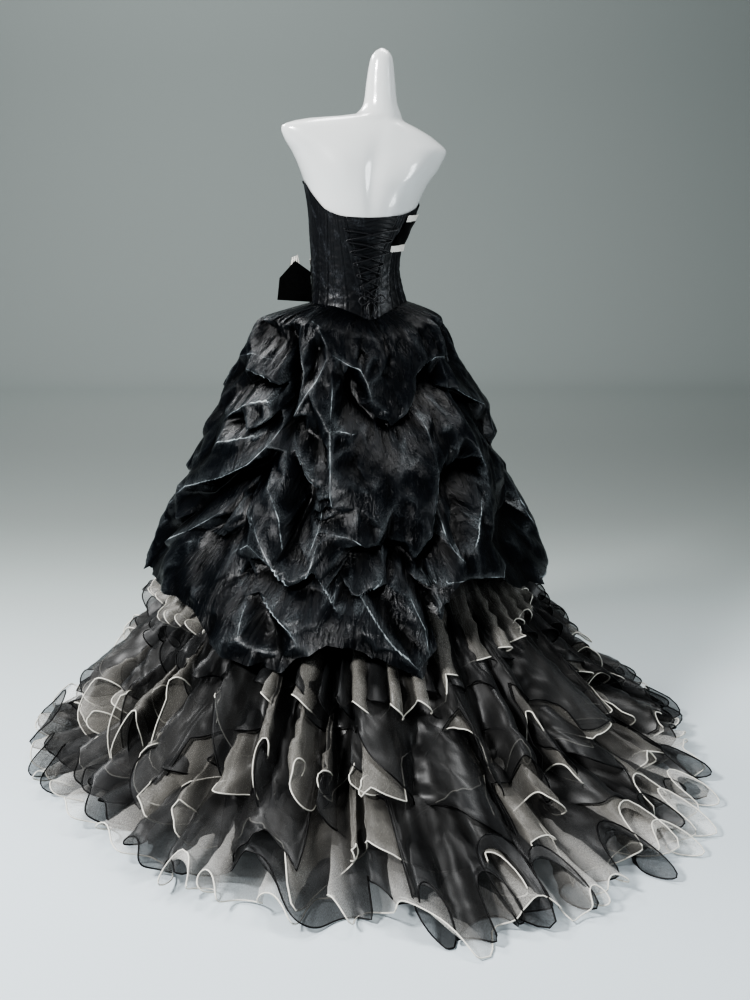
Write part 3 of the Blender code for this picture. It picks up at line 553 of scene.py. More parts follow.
def brushed_steel():
    """Steel brushed along its height."""
    steel = Finish("brushed_steel", Base_Color=(0.60, 0.60, 0.61, 1), Metallic=1.0)
    lines = steel.noise(steel.places("Object"), 60, 3, 0.6, stretch=(1, 1, 0.02))
    steel.feed("Roughness", steel.ramp(lines, 0.3, 0.7, 0.22, 0.38))
    steel.bump(lines, 0.1, 0.0005)
    return steel.material


FORM_GLOSS = gloss_form()
STEEL = brushed_steel()
for name in ("form_pole", "form_base"):
    bpy.data.objects[name].material_slots[0].material = STEEL

# %% [markdown]
# ## The studio
# A seamless paper sweep runs from a pale floor up into a grey wall, square to the camera. It could
# be one grey that only the lamps shade, but the light on real paper falls off evenly behind the
# gown, so that fall-off is painted into its colour, set by distance. The key light hangs high on
# the left of the camera and a weak one fills from the right; one behind draws the edges, one hangs
# overhead and one washes the wall.

# %% Floor and wall
WALL_DISTANCE = 8.4
WALL_HEIGHT = 7.0
SWEEP_RADIUS = 2.4
SWEEP_STEPS = 24
SWEEP_WIDTH = 24.0
FLOOR_FRONT = 5.0
# Place before the form, or behind it where less than nothing, and the paper's brightness there:
# its own tone, with the fall-off of the light painted in
SWEEP_TONES_AND_FALLOFF = ((0.6, 0.60), (0.0, 0.53), (-0.7, 0.41), (-1.4, 0.26), (-2.2, 0.185),
               (-3.8, 0.20), (-5.2, 0.27), (-6.6, 0.325))
COOL_FROM, COOL_OVER = 0.3, 0.3     # the paper turns cooler above this brightness


def sweep_finish():
    """Matt paper whose colour changes along the sweep, with the fall-off of the light painted in."""
    paper = Finish("studio_paper", Roughness=0.85, Specular_IOR_Level=0.2)
    split = paper.nodes.new("ShaderNodeSeparateXYZ")
    paper.links.new(paper.places("Object"), split.inputs["Vector"])
    nearest, farthest = SWEEP_TONES_AND_FALLOFF[0][0], SWEEP_TONES_AND_FALLOFF[-1][0]
    share = paper.nodes.new("ShaderNodeMapRange")
    share.inputs["From Min"].default_value = nearest
    share.inputs["From Max"].default_value = farthest
    paper.links.new(split.outputs["Y"], share.inputs["Value"])
    stops = []
    for at, bright in SWEEP_TONES_AND_FALLOFF:
        cool = min(1.0, max(0.0, (bright - COOL_FROM) / COOL_OVER))
        stops.append(((nearest - at) / (nearest - farthest),
                      (bright, bright * 1.10, bright * (1.07 + 0.09 * cool))))
    paper.feed("Base Color", paper.shades(share.outputs["Result"], *stops[:-1], last=stops[-1],
                                          interpolation="B_SPLINE"))
    return paper.material


def sweep_profile():
    """Floor towards the camera, a quarter turn behind the gown, and the wall."""
    bend = -WALL_DISTANCE + SWEEP_RADIUS
    points = [(FLOOR_FRONT, 0.0), (bend, 0.0)]
    for step in range(1, SWEEP_STEPS + 1):
        turn = math.radians(90 * step / SWEEP_STEPS)
        points.append((bend - SWEEP_RADIUS * math.sin(turn),
                       SWEEP_RADIUS - SWEEP_RADIUS * math.cos(turn)))
    return points + [(-WALL_DISTANCE, WALL_HEIGHT)]


profile = sweep_profile()
corners = [(side * SWEEP_WIDTH / 2, y, z) for y, z in profile for side in (-1, 1)]
faces = [(2 * i, 2 * i + 1, 2 * i + 3, 2 * i + 2) for i in range(len(profile) - 1)]
sweep = mesh_object("studio_sweep", corners, faces, sweep_finish())
sweep.rotation_euler.z = CAMERA_TURN - math.pi
print("sweep:", len(faces), "faces, wall", WALL_DISTANCE, "m behind the form")

# %% Lights
LAMPS = (
    # name, place, aim, width and height, watts, colour
    ("key", (3.6, 1.8, 3.5), (0, 0, 0.6), (1.0, 0.7), 280, (1, 1, 1)),
    ("fill", (-3.4, 3.0, 1.6), (0, 0, 0.6), (0.8, 2.4), 80, (0.92, 0.97, 1.0)),
    ("edge", (1.8, -2.4, 3.4), (0, 0, 0.8), (2.0, 0.8), 90, (1, 1, 1)),
    ("overhead", (-1.0, -0.6, 4.2), (-0.6, 0, 0), (2.4, 1.2), 80, (1, 1, 1)),
    ("backdrop", (0.6, -3.6, 5.2), (-1.0, -8.4, 1.2), (4.0, 1.0), 195, (1, 1, 1)),
)
WORLD_COLOUR = (0.72, 0.76, 0.78, 1)
WORLD_STRENGTH = 0.16

for name, place, aim, size, watts, colour in LAMPS:
    bpy.ops.object.light_add(type="AREA", location=place)
    lamp = bpy.context.object
    lamp.name = name
    lamp.data.shape = "RECTANGLE"
    lamp.data.size, lamp.data.size_y = size
    lamp.data.energy = watts
    lamp.data.color = colour
    lamp.rotation_euler = (Vector(aim) - Vector(place)).to_track_quat("-Z", "Y").to_euler()
world = bpy.data.worlds.new("studio")
world.use_nodes = True
world.node_tree.nodes["Background"].inputs["Color"].default_value = WORLD_COLOUR
world.node_tree.nodes["Background"].inputs["Strength"].default_value = WORLD_STRENGTH
bpy.context.scene.world = world
bpy.context.scene.view_settings.look = "AgX - High Contrast"

# %% [markdown]
# ## The dress form
# The form is moulded glass fibre in white gloss: a back with shoulder blades and a spine, a
# finger-shaped neck, and flat ovals where the arms would start. It could be sculpted by hand;
# rings through the solid's own sections keep it in its place, and a few soft bumps shape it.

# %% Torso
TORSO_COLUMNS = 128
TORSO_ROWS = 150


def soft_bump(angles, heights, at, size, out):
    """A round swelling on the torso: where, its half sizes and its height."""
    degrees = (np.degrees(angles) - at[0] + 180) % 360 - 180
    return out * np.exp(-(degrees / size[0]) ** 2 - ((heights - at[1]) / size[1]) ** 2)


def torso_points(angles, heights, out=0.0):
    """The form's skin, moved out by a distance."""
    relief = soft_bump(angles, heights, (30, 1.385), (17, 0.050), 0.009)
    relief = relief + soft_bump(angles, heights, (-32, 1.365), (17, 0.050), 0.009)
    relief = relief - soft_bump(angles, heights, (0, 1.350), (7, 0.080), 0.008)
    return ring(FORM, angles, heights, out + relief)


heights = np.linspace(FORM[0].height, FORM[-1].height, TORSO_ROWS)
grid = torso_points(*np.broadcast_arrays(turns(TORSO_COLUMNS)[None, :], heights[:, None]))
torso = cloth_mesh("dress_form", grid, True, FORM_GLOSS)
stand_for(torso, "form_torso")
print("dress form:", len(torso.data.polygons), "faces")

# %% [markdown]
# ## The overskirt
# The real overskirt is a long wide skirt of crushed satin that is tacked up by hand to the skirt
# below: between the tacks the spare cloth puffs out and falls in creased swags. A cloth
# simulation drapes it well but puts its creases where it likes. Crisp satin breaks into nearly
# flat facets between sharp ridges, so here each ridge and each tack is placed on the skirt, and
# the cloth is stretched over them like a tent over its poles. Small crumples between the ridges
# break up the facets that would be too flat.

# %% Ridges, swags and tacks of the overskirt
# Each line runs over the skirt: angle in degrees from the centre back, height in metres, and how
# far the cloth stands out there in millimetres, less than nothing where it is drawn in
CREASES = {
    "arch_right": ((28, 0.95, 12), (20, 0.93, 16), (13, 0.92, 20), (10, 0.89, 14), (8, 0.85, 4),
        (6, 0.8, -20)),
    "arch_left": ((28, 0.95, 12), (33, 0.89, 14), (39, 0.85, 14), (42, 0.825, 12), (43, 0.79, -30)),
    "window_side": ((26, 0.905, 10), (25, 0.87, 18), (25, 0.795, 22), (24, 0.725, 24), (23, 0.65, 20),
        (20, 0.61, 6)),
    "window_sill": ((25, 0.795, 22), (16, 0.79, 14), (8, 0.79, -25)),
    "window_deep": ((18, 0.89, -16), (18, 0.835, -32), (12, 0.81, -34)),
    "tack_centre": ((8, 0.79, -40), (-1, 0.77, -42)),
    "panel_left": ((6, 0.785, -12), (5, 0.69, 12), (4, 0.63, 18), (4, 0.555, -20)),
    "panel_right": ((-1, 0.765, -10), (-6, 0.73, 12), (-14, 0.705, 22), (-12, 0.665, 24),
        (-9, 0.595, 20), (-4, 0.53, -10)),
    "panel_foot": ((1, 0.53, -40), (-4, 0.52, -34)),
    "beside_panel": ((-14, 0.65, -30), (-10, 0.58, -34), (-7, 0.515, -40)),
    "top_puff": ((-12, 0.885, 8), (-22, 0.92, 12), (-32, 0.935, 18), (-41, 0.93, 18), (-36, 0.87, 12)),
    "top_puff_deep": ((-25, 0.905, -26), (-21, 0.87, -34), (-15, 0.83, -26), (-6, 0.795, -34),
        (-2, 0.775, -42)),
    "centre_right_edge": ((-15, 0.875, 10), (-8, 0.83, 8), (-1, 0.78, -20)),
    "right_hem_of_puff": ((-36, 0.87, 12), (-56, 0.84, 20), (-72, 0.795, 22)),
    "right_under_puff": ((-24, 0.87, -20), (-39, 0.85, -8), (-61, 0.815, -8)),
    "bright_right": ((-38, 0.85, 8), (-35, 0.79, 22), (-37, 0.73, 26), (-42, 0.695, 14)),
    "right_facet": ((-14, 0.82, 8), (-14, 0.705, 22)),
    "tack_right": ((-38, 0.69, -40), (-23, 0.67, -36), (-14, 0.65, -38)),
    "low_right_fold": ((-14, 0.64, 8), (-14, 0.59, 18), (-17, 0.54, 22), (-20, 0.505, 18)),
    "low_right_fold2": ((-16, 0.635, -4), (-17, 0.58, 10), (-19, 0.52, 14)),
    "swag_right_hem": ((-7, 0.51, 16), (-14, 0.495, 24), (-22, 0.49, 26), (-33, 0.48, 22),
        (-39, 0.5, 8), (-44, 0.53, -28)),
    "facet_top": ((-34, 0.635, 16), (-39, 0.59, 14), (-43, 0.53, -20)),
    "facet_left": ((-34, 0.635, 16), (-28, 0.59, 20), (-24, 0.55, 22)),
    "facet_foot": ((-24, 0.55, 22), (-33, 0.535, 10), (-42, 0.53, -20)),
    "facet_deep": ((-25, 0.615, -24), (-23, 0.59, -34), (-20, 0.555, -24)),
    "right_edge_top": ((-72, 0.77, 16), (-72, 0.75, 24), (-72, 0.735, 14)),
    "right_edge_notch": ((-72, 0.715, -14), (-70, 0.705, -18)),
    "right_edge_low": ((-71, 0.65, 10), (-72, 0.59, 18), (-73, 0.54, 28), (-74, 0.48, 30),
        (-73, 0.43, 30), (-59, 0.43, 22)),
    "right_puff_deep": ((-70, 0.55, -18), (-56, 0.525, -26), (-44, 0.49, -22)),
    "left_valley": ((56, 0.99, -14), (49, 0.945, -26), (46, 0.895, -34), (47, 0.875, -40),
        (45, 0.845, -36), (43, 0.79, -42)),
    "left_panel_fold": ((46, 0.96, 4), (40, 0.91, 12), (41, 0.87, 8)),
    "left_panel_deep": ((35, 0.945, -8), (36, 0.885, -10)),
    "left_top_puff": ((75, 0.91, 22), (63, 0.905, 24), (52, 0.89, 18), (47, 0.875, -30)),
    "left_top_puff2": ((100, 0.92, 18), (78, 0.94, 16), (61, 0.93, 10)),
    "left_top_edge": ((104, 0.985, 10), (101, 0.96, 8), (101, 0.92, 18), (101, 0.87, 26),
        (100, 0.83, 26), (89, 0.8, 14)),
    "left_loop": ((78, 0.79, 20), (73, 0.82, 24), (64, 0.845, 28), (53, 0.855, 22), (48, 0.85, -10)),
    "left_loop_foot": ((47, 0.84, -12), (51, 0.815, 16), (56, 0.79, 20), (64, 0.77, 20)),
    "left_loop_deep": ((79, 0.85, -10), (65, 0.87, -16), (52, 0.87, -24)),
    "second_loop": ((78, 0.71, 22), (75, 0.74, 26), (65, 0.76, 26), (57, 0.765, 18)),
    "second_loop_foot": ((54, 0.75, 6), (60, 0.725, 18), (68, 0.705, 20), (77, 0.705, 22)),
    "second_loop_deep": ((73, 0.77, -4), (59, 0.775, -12), (50, 0.8, -18)),
    "big_roll": ((46, 0.8, 6), (49, 0.76, 16), (55, 0.72, 22), (66, 0.68, 28), (85, 0.625, 32),
        (97, 0.55, 30), (98, 0.49, 28), (97, 0.465, 20)),
    "under_roll": ((48, 0.71, -14), (52, 0.685, -30), (55, 0.665, -48)),
    "under_roll2": ((55, 0.665, -48), (65, 0.655, -26), (73, 0.605, -18), (80, 0.53, -14),
        (87, 0.485, -12)),
    "fan_1": ((57, 0.655, -20), (64, 0.595, 10), (73, 0.54, 16), (84, 0.5, 20)),
    "fan_2": ((56, 0.65, -20), (58, 0.6, 12), (60, 0.55, 0)),
    "fan_3": ((54, 0.65, -20), (51, 0.615, 12), (47, 0.59, 20)),
    "fan_deep_1": ((57, 0.635, -20), (60, 0.575, -16), (60, 0.535, -46)),
    "fan_deep_2": ((53, 0.63, -14), (52, 0.575, -18), (51, 0.54, -20)),
    "swag_left": ((55, 0.66, -24), (48, 0.61, 18), (42, 0.565, 22), (35, 0.52, 26), (30, 0.505, 28),
        (26, 0.515, 22), (25, 0.57, 12), (26, 0.64, -18)),
    "swag_left_deep": ((34, 0.71, -18), (30, 0.645, -30), (32, 0.585, -36), (33, 0.54, -26)),
    "swag_puff": ((45, 0.67, 16), (38, 0.61, 18), (35, 0.555, 16)),
    "small_swag": ((39, 0.75, 6), (34, 0.72, 14), (30, 0.69, 16), (27, 0.675, 10), (25, 0.71, 14)),
    "small_swag_deep": ((29, 0.74, -22), (32, 0.755, -20), (37, 0.765, -16)),
    "tack_low_centre": ((20, 0.61, -42),),
    "tuck_left": ((27, 0.655, 14), (25, 0.61, 12), (26, 0.585, 14), (27, 0.535, 12)),
    "tuck_top": ((21, 0.585, 14), (16, 0.585, 18), (11, 0.57, 18), (6, 0.555, -10)),
    "tack_tuck": ((4, 0.55, -44), (3, 0.525, -34)),
    "tuck_foot": ((4, 0.54, -14), (7, 0.51, 14), (11, 0.49, 18), (14, 0.485, 14)),
    "tuck_deep": ((11, 0.55, -24), (15, 0.525, -20)),
    "tack_tail": ((14, 0.475, -34), (18, 0.475, -26)),
    "pinch": ((77, 0.495, 16), (68, 0.52, 8), (60, 0.53, -46), (51, 0.53, 8)),
    "pinch_fan": ((74, 0.545, 12), (65, 0.535, -10)),
    "pinch_low": ((60, 0.52, -24), (66, 0.47, 4), (73, 0.425, 10)),
    "pinch_low2": ((58, 0.525, -24), (52, 0.485, 6), (46, 0.47, -4)),
    "swag_edge": ((51, 0.53, 8), (46, 0.55, 14), (40, 0.535, 20)),
    "tack_hem_left": ((42, 0.47, -42),),
    "under_swag": ((38, 0.48, -30), (30, 0.485, -36), (25, 0.5, -32)),
    "hem_bright_left": ((41, 0.47, -12), (35, 0.455, 16), (28, 0.42, 22), (25, 0.385, 18)),
    "hem_left_side": ((42, 0.465, -14), (40, 0.42, 14), (39, 0.37, 14)),
    "hem_left_deep": ((37, 0.43, -22), (32, 0.385, -20)),
    "tail_left": ((18, 0.47, 8), (18, 0.415, 12), (18, 0.37, 12)),
    "tail_cross": ((27, 0.53, 10), (22, 0.495, 12), (16, 0.435, 14)),
    "tail_bright": ((12, 0.48, 12), (7, 0.43, 22), (3, 0.385, 22), (-2, 0.34, 16)),
    "tail_beside": ((10, 0.48, -22), (5, 0.43, -16), (0, 0.375, -12)),
    "fan_right_1": ((1, 0.51, -6), (-2, 0.46, 18), (-5, 0.42, 20), (-5, 0.37, 16)),
    "fan_right_deep": ((-2, 0.49, -30), (-7, 0.445, -34), (-9, 0.395, -28)),
    "fan_right_2": ((-9, 0.495, -6), (-10, 0.455, 10), (-10, 0.43, 10)),
    "hem_right": ((-18, 0.485, 10), (-14, 0.44, 20), (-10, 0.39, 16)),
    "hem_right2": ((-20, 0.47, -20), (-22, 0.455, -20)),
    "top_folds_1": ((61, 1.045, 4), (34, 1.005, 10), (28, 0.95, 12)),
    "top_folds_2": ((15, 0.99, 2), (12, 0.965, 6), (11, 0.94, -6)),
    "top_folds_3": ((-39, 1.04, 0), (-36, 0.99, 10), (-37, 0.945, 12)),
    "top_folds_4": ((-76, 0.995, 6), (-72, 0.93, 12), (-72, 0.85, 16)),
    "top_right_deep": ((-76, 1.01, -8), (-60, 0.95, -14), (-53, 0.89, -12)),
    "top_left_1": ((106, 1.02, 8), (78, 1.015, 14), (87, 1.04, 6)),
    "top_left_deep": ((85, 1.01, -8), (64, 0.965, -12)),
}
HIDDEN_MIRROR = 190         # the front repeats the back's folds, mirrored about this angle
HIDDEN_RANGE = (113, 276)
SEEN_RANGE = (-76, 107)
print("creases on the back:", len(CREASES), "points:", sum(len(line) for line in CREASES.values()))

# %% Grid of the overskirt
SKIRT_COLUMNS = 560
SKIRT_ROWS = 148

angles, shares = np.broadcast_arrays(turns(SKIRT_COLUMNS)[None, :],
                                     np.linspace(0, 1, SKIRT_ROWS)[:, None])
waist = around(WAIST_SEAM, angles)
heights = waist + (around(OVERSKIRT_HEM, angles) - waist) * shares
print("overskirt:", SKIRT_ROWS, "rows of", SKIRT_COLUMNS, "points")

# %% Points that hold the cloth
FOLD_RADIUS = 0.40          # turns an angle on the skirt into a length
ONCE_AROUND = 2 * np.pi * FOLD_RADIUS
POINT_SPACING = 0.018       # along a ridge
EDGE_SPACING = 6.0          # degrees between the points along the waist and the hem
# Rows of points that run around with an edge: how far above it and how far out, in metres
EDGE_ROWS = ((WAIST_SEAM, 0.010, 0.0), (WAIST_SEAM, -0.012, 0.002), (OVERSKIRT_HEM, -0.012, 0.004))


def line_points(line):
    """Points at even spacing along a crease: place around, height, out; in metres."""
    rows = np.array(line, dtype=float)
    rows[:, 0] = np.radians(rows[:, 0]) * FOLD_RADIUS
    rows[:, 2] /= 1000
    if len(rows) < 2:
        return rows
    lengths = np.concatenate(([0], np.cumsum(np.hypot(*np.diff(rows[:, :2], axis=0).T))))
    count = max(2, int(lengths[-1] / POINT_SPACING) + 1)
    even = np.linspace(0, lengths[-1], count)
    return np.stack([np.interp(even, lengths, rows[:, column]) for column in range(3)], axis=1)


def mirrored(line):
    """The same crease on the hidden side."""
    return [(HIDDEN_MIRROR - angle, height, out) for angle, height, out in line]


def within(line, low, high):
    """The points of a crease whose angles lie in a range."""
    return [row for row in line if low <= row[0] <= high]


def placed_creases():
    """Points along the creases of the seen side, and along their mirrored copies in front."""
    seen = [within(line, *SEEN_RANGE) for line in CREASES.values()]
    hidden = [within(mirrored(line), *HIDDEN_RANGE) for line in CREASES.values()]
    return [line_points(line) for line in seen + hidden if line]


def repeated(points):
    """Points with copies of them one turn to either side, so that the cloth closes."""
    return np.concatenate([points + (turn * ONCE_AROUND, 0, 0) for turn in (-1, 0, 1)])


def holding_points(creases):
    """All points that hold the cloth: along its creases and its two edges."""
    edge = np.radians(np.arange(-180, 180, EDGE_SPACING))
    rows = [np.stack((edge * FOLD_RADIUS, around(table, edge) + above,
                      np.full(len(edge), out)), axis=1) for table, above, out in EDGE_ROWS]
    points = np.concatenate(creases + rows)
    points[:, 0] = (points[:, 0] + ONCE_AROUND / 2) % ONCE_AROUND - ONCE_AROUND / 2
    return repeated(points)


creases = placed_creases()
held = holding_points(creases)
print("points that hold the cloth:", len(held) // 3)

# %% Flat facets between the points
SAME_POINT = 1e-5           # points nearer to each other than this count as one
TOUCHING = 1e-6             # a place this little outside a facet still lies on it
NO_AREA = 1e-12


def place_around(angles):
    """Place on the flattened skirt, up to half a turn to either side of the centre back."""
    return ((angles + np.pi) % (2 * np.pi) - np.pi) * FOLD_RADIUS


def stretched_over(points, angles, heights):
    """Height of the flat facets between the points, at every place of a grid."""
    corners = [Vector((x, y)) for x, y, _ in points]
    found = delaunay_2d_cdt(corners, [], [], 0, SAME_POINT)
    places, faces, sources = found[0], found[2], found[3]
    outs = np.array([points[source[0], 2] for source in sources])
    places = np.array([tuple(place) for place in places])
    x = place_around(angles)
    order = np.argsort(x[0])
    sorted_x = x[0][order]
    result = np.zeros(x.shape)
    for face in faces:
        a, b, c = places[list(face)]
        low = np.searchsorted(sorted_x, min(a[0], b[0], c[0]) - TOUCHING)
        high = np.searchsorted(sorted_x, max(a[0], b[0], c[0]) + TOUCHING)
        area = (b[0] - a[0]) * (c[1] - a[1]) - (c[0] - a[0]) * (b[1] - a[1])
        if low == high or abs(area) < NO_AREA:
            continue
        columns = order[low:high]
        px, py = x[:, columns], heights[:, columns]
        second = ((px - a[0]) * (c[1] - a[1]) - (c[0] - a[0]) * (py - a[1])) / area
        third = ((b[0] - a[0]) * (py - a[1]) - (px - a[0]) * (b[1] - a[1])) / area
        inside = (second >= -TOUCHING) & (third >= -TOUCHING) & (second + third <= 1 + 2 * TOUCHING)
        value = outs[face[0]] * (1 - second - third) + outs[face[1]] * second + outs[face[2]] * third
        rows, places_in = np.nonzero(inside)
        result[rows, columns[places_in]] = value[rows, places_in]
    return result


base = stretched_over(held, angles, heights)
print("facets stand out from", round(base.min() * 1000), "to", round(base.max() * 1000), "mm")

# %% Small crumples between the ridges
CRUMPLE_WIDE, CRUMPLE_TALL = 0.026, 0.050
CRUMPLE_LOW, CRUMPLE_HIGH = 0.30, 1.03
CRUMPLE_SHIFT = 0.45        # share of its cell by which a crumple may stand aside
CRUMPLE_CLEAR = 0.013       # crumples keep this far from the ridges
CRUMPLE_UPRIGHT = 0.6       # share of a height that counts in that distance
CRUMPLE_OUT = 0.0060
CRUMPLE_SEED = 8
OUT_SCALE = 1.5             # the folds of the whole skirt, over the table's values


def crumple_points(held, base, heights, seed):
    """Small peaks and dents between the ridges, on an uneven lattice taller than wide."""
    chance = np.random.default_rng(seed)
    half = ONCE_AROUND / 2
    wide, tall = np.meshgrid(np.arange(-half, half - 0.01, CRUMPLE_WIDE),
                             np.arange(CRUMPLE_LOW, CRUMPLE_HIGH, CRUMPLE_TALL))
    places = np.stack((wide.ravel(), tall.ravel()), axis=1)
    shift = chance.uniform(-CRUMPLE_SHIFT, CRUMPLE_SHIFT, places.shape)
    places += shift * (CRUMPLE_WIDE, CRUMPLE_TALL)
    beside = places[:, None, 0] - held[None, :, 0]
    above = (places[:, None, 1] - held[None, :, 1]) * CRUMPLE_UPRIGHT
    places = places[np.hypot(beside, above).min(axis=1) > CRUMPLE_CLEAR]
    column = np.round(places[:, 0] / FOLD_RADIUS / (2 * np.pi) * SKIRT_COLUMNS).astype(int)
    column = column % SKIRT_COLUMNS
    row = np.abs(heights[:, column] - places[None, :, 1]).argmin(axis=0)
    outs = base[row, column] + chance.normal(size=len(places)) * CRUMPLE_OUT
    return repeated(np.column_stack((places, outs)))


crumples = crumple_points(held, base, heights, CRUMPLE_SEED)
out = OUT_SCALE * stretched_over(np.concatenate((held, crumples)), angles, heights)
print("crumples:", len(crumples) // 3)
print("overskirt stands out from", round(out.min() * 1000), "to", round(out.max() * 1000), "mm")

# %% Crests, folds and shining ridges, which place the satin's painted highlights and shade
RIDGE_REACH = 0.012         # the shine along a ridge has faded at this distance
RIDGE_FROM = 0.008          # ridges that stand out less than this do not shine
RIDGE_FULL = 0.020
SHORTEST = 1e-6
CREST_BLUR, FOLD_BLUR, HANG_BLUR, SWAG_BLUR = 4, 12, 60, 160     # times that a field is softened
CREST_FULL = 0.0030         # a crest stands out this much over its softened surroundings
FLAT_FOLD = 0.60            # flat cloth, between the bottom of a fold (0) and its edge (1)
FOLD_RANGE, SWAG_RANGE = 0.02, 0.09


def ridge_lines(creases, angles, heights):
    """Distance from the nearest ridge, with opposite signs on its two sides, and its strength."""
    x = place_around(angles)
    distance = np.full(x.shape, RIDGE_REACH)
    strength = np.zeros(x.shape)
    for rows in creases:
        for number, (start, end) in enumerate(zip(rows, rows[1:])):
            stands = min(start[2], end[2])
            way = end[:2] - start[:2]
            length = np.hypot(*way)
            if stands < RIDGE_FROM or length < SHORTEST:
                continue
            end_fade = min(1.0, (number + 1) / 2, (len(rows) - 1 - number) / 2)
            fullest = end_fade * min(1.0, stands / RIDGE_FULL)
            for turn in (-1, 0, 1):
                from_x = x - start[0] - turn * ONCE_AROUND
                from_y = heights - start[1]
                share = np.clip((from_x * way[0] + from_y * way[1]) / length ** 2, 0, 1)
                away = np.hypot(from_x - share * way[0], from_y - share * way[1])
                near = away < np.abs(distance)
                sign = np.where(from_x * way[1] > from_y * way[0], 1.0, -1.0)
                distance[near] = (away * sign)[near]
                strength[near] = (fullest * np.clip(1.3 - away / RIDGE_REACH, 0, 1))[near]
    return distance, strength


def blurred(values, times):
    """Soften a field that closes around the gown."""
    for _ in range(times):
        sides = np.roll(values, 1, axis=1) + np.roll(values, -1, axis=1)
        values = values * 0.5 + sides * 0.25
        inner = values[1:-1] * 0.5 + (values[2:] + values[:-2]) * 0.25
        values = np.concatenate((values[:1], inner, values[-1:]))
    return values


# Painted light on the satin: crests and ridges place its highlights, the fold field its shade
crest = np.clip((out - blurred(out, CREST_BLUR)) / CREST_FULL, 0, 1)
fold = np.clip(FLAT_FOLD + (out - blurred(out, SWAG_BLUR)) / SWAG_RANGE
               + (out - blurred(out, FOLD_BLUR)) / FOLD_RANGE, 0, 1)
ridge, edge = ridge_lines(creases, angles, heights)
print("share of the satin beside a ridge:", round(float((edge > 0).mean()), 3))

# %% Shape of the overskirt
SPREAD_HEIGHT = 0.045       # below the waist seam the cloth fills out within this height
SEAM_OUT = 0.0036           # the waist seam from the form
DROOP = 0.75                # a fold's edge hangs down by this share of its standing out
SWELLINGS, SWELLING_SIZE = 26, 0.0022
GATHER_SIZE, GATHER_HEIGHT = 0.0022, 0.07
PHASES = 6.3                # waves start anywhere in about a full turn


def billow(angles, heights, seed, size, finest):
    """Small uneven swellings of the cloth."""
    chance = np.random.default_rng(seed)
    total = np.zeros(angles.shape)
    for _ in range(SWELLINGS):
        around_count = chance.integers(4, finest)
        tilt = chance.normal() * finest * 1.6
        total = total + np.sin(around_count * angles + tilt * heights + chance.random() * PHASES)
    return total * size / 5


spread = np.sin(np.clip((waist - heights) / SPREAD_HEIGHT, 0, 1) * np.pi / 2)
full_out = out + billow(angles, heights, 5, SWELLING_SIZE, 46) * spread
seam = torso_points(angles, heights, SEAM_OUT)
full = ring(OVERSKIRT, angles, heights)
away = np.stack((np.sin(angles), np.cos(angles), np.zeros_like(angles)), axis=-1)
gathers = GATHER_SIZE * np.exp(-((waist - heights) / GATHER_HEIGHT) ** 2)
full_out = full_out + gathers * billow(angles, heights * 0, 9, 1, 90)
skirt = seam + (full - seam) * spread[..., None] + away * (full_out * spread)[..., None]
skirt[..., 2] -= DROOP * (out - blurred(out, HANG_BLUR)) * spread * np.clip(shares * 4, 0, 1)
print("overskirt hangs down to", round(float(skirt[..., 2].min()), 3), "m")

# %% Gores of the overskirt
SKIRT_SEAMS = {"back_centre": (-24, 24), "back_left": (24, 66), "side_left": (66, 132),
               "front": (132, 228), "side_right": (-132, -66), "back_right": (-66, -24)}
for name, (first, last) in SKIRT_SEAMS.items():
    columns = np.arange(round(first / 360 * SKIRT_COLUMNS), round(last / 360 * SKIRT_COLUMNS) + 1)
    columns = columns % SKIRT_COLUMNS
    gore = skirt[:, columns]
    piece = cloth_mesh("satin_" + name, gore, False, SATIN, fold=fold[:, columns],
                       ridge=ridge[:, columns], edge=edge[:, columns], crest=crest[:, columns])
    stand_for(piece, "overskirt_" + name)
    cut_from(piece, gore, False)

# %% [markdown]
# ## Ruffles
# Organza is cut in long strips, rolled over a fine cord at the hem and gathered tightly at the
# top. The spare length has to go somewhere, so the hem swings in and out in loops that lean over
# each other. A sine wave never looks right, because cloth keeps its length: the curve used here
# is the meander, whose direction swings evenly, and which closes into loops as it gets fuller.

# %% The meander of a full hem
MEANDER_SWINGS = np.linspace(0.0, 2.2, 45)
MEANDER_STEPS = 144


def meander_table():
    """How far a meander runs ahead of its mean, and beside it, for each swing and phase."""
    phase = np.linspace(0, 2 * np.pi, MEANDER_STEPS + 1)
    turn = MEANDER_SWINGS[:, None] * np.sin(phase)[None, :]
    step = phase[1] - phase[0]

    def summed(values):
        """Running total along each row, from 0 at its first phase."""
        middle = (values[:, 1:] + values[:, :-1]) / 2 * step
        return np.concatenate((np.zeros((len(values), 1)), np.cumsum(middle, axis=1)), axis=1)

    along, beside = summed(np.cos(turn)), summed(np.sin(turn))
    mean = along[:, -1:] / (2 * np.pi)
    ahead = (along - mean * phase) / (2 * np.pi * mean)
    beside = (beside - beside.mean(axis=1, keepdims=True)) / (2 * np.pi * mean)
    return ahead, beside


AHEAD, BESIDE = meander_table()


def meander(swing, phase):
    """Offsets along and beside the line, as shares of one wave's length."""
    row = np.clip(swing / MEANDER_SWINGS[-1] * (len(MEANDER_SWINGS) - 1), 0,
                  len(MEANDER_SWINGS) - 1.001)
    column = (phase / (2 * np.pi) % 1.0) * MEANDER_STEPS
    low, left = row.astype(int), column.astype(int)
    up, over = row - low, column - left
    found = []
    for table in (AHEAD, BESIDE):
        first = table[low, left] * (1 - over) + table[low, left + 1] * over
        second = table[low + 1, left] * (1 - over) + table[low + 1, left + 1] * over
        found.append(first * (1 - up) + second * up)
    return found


print("a swing of 1.8 makes the hem", round(float(1 / np.cos(1.8 * np.sin(
    np.linspace(0, 2 * np.pi, 999))).mean()), 2), "times as long as its line")

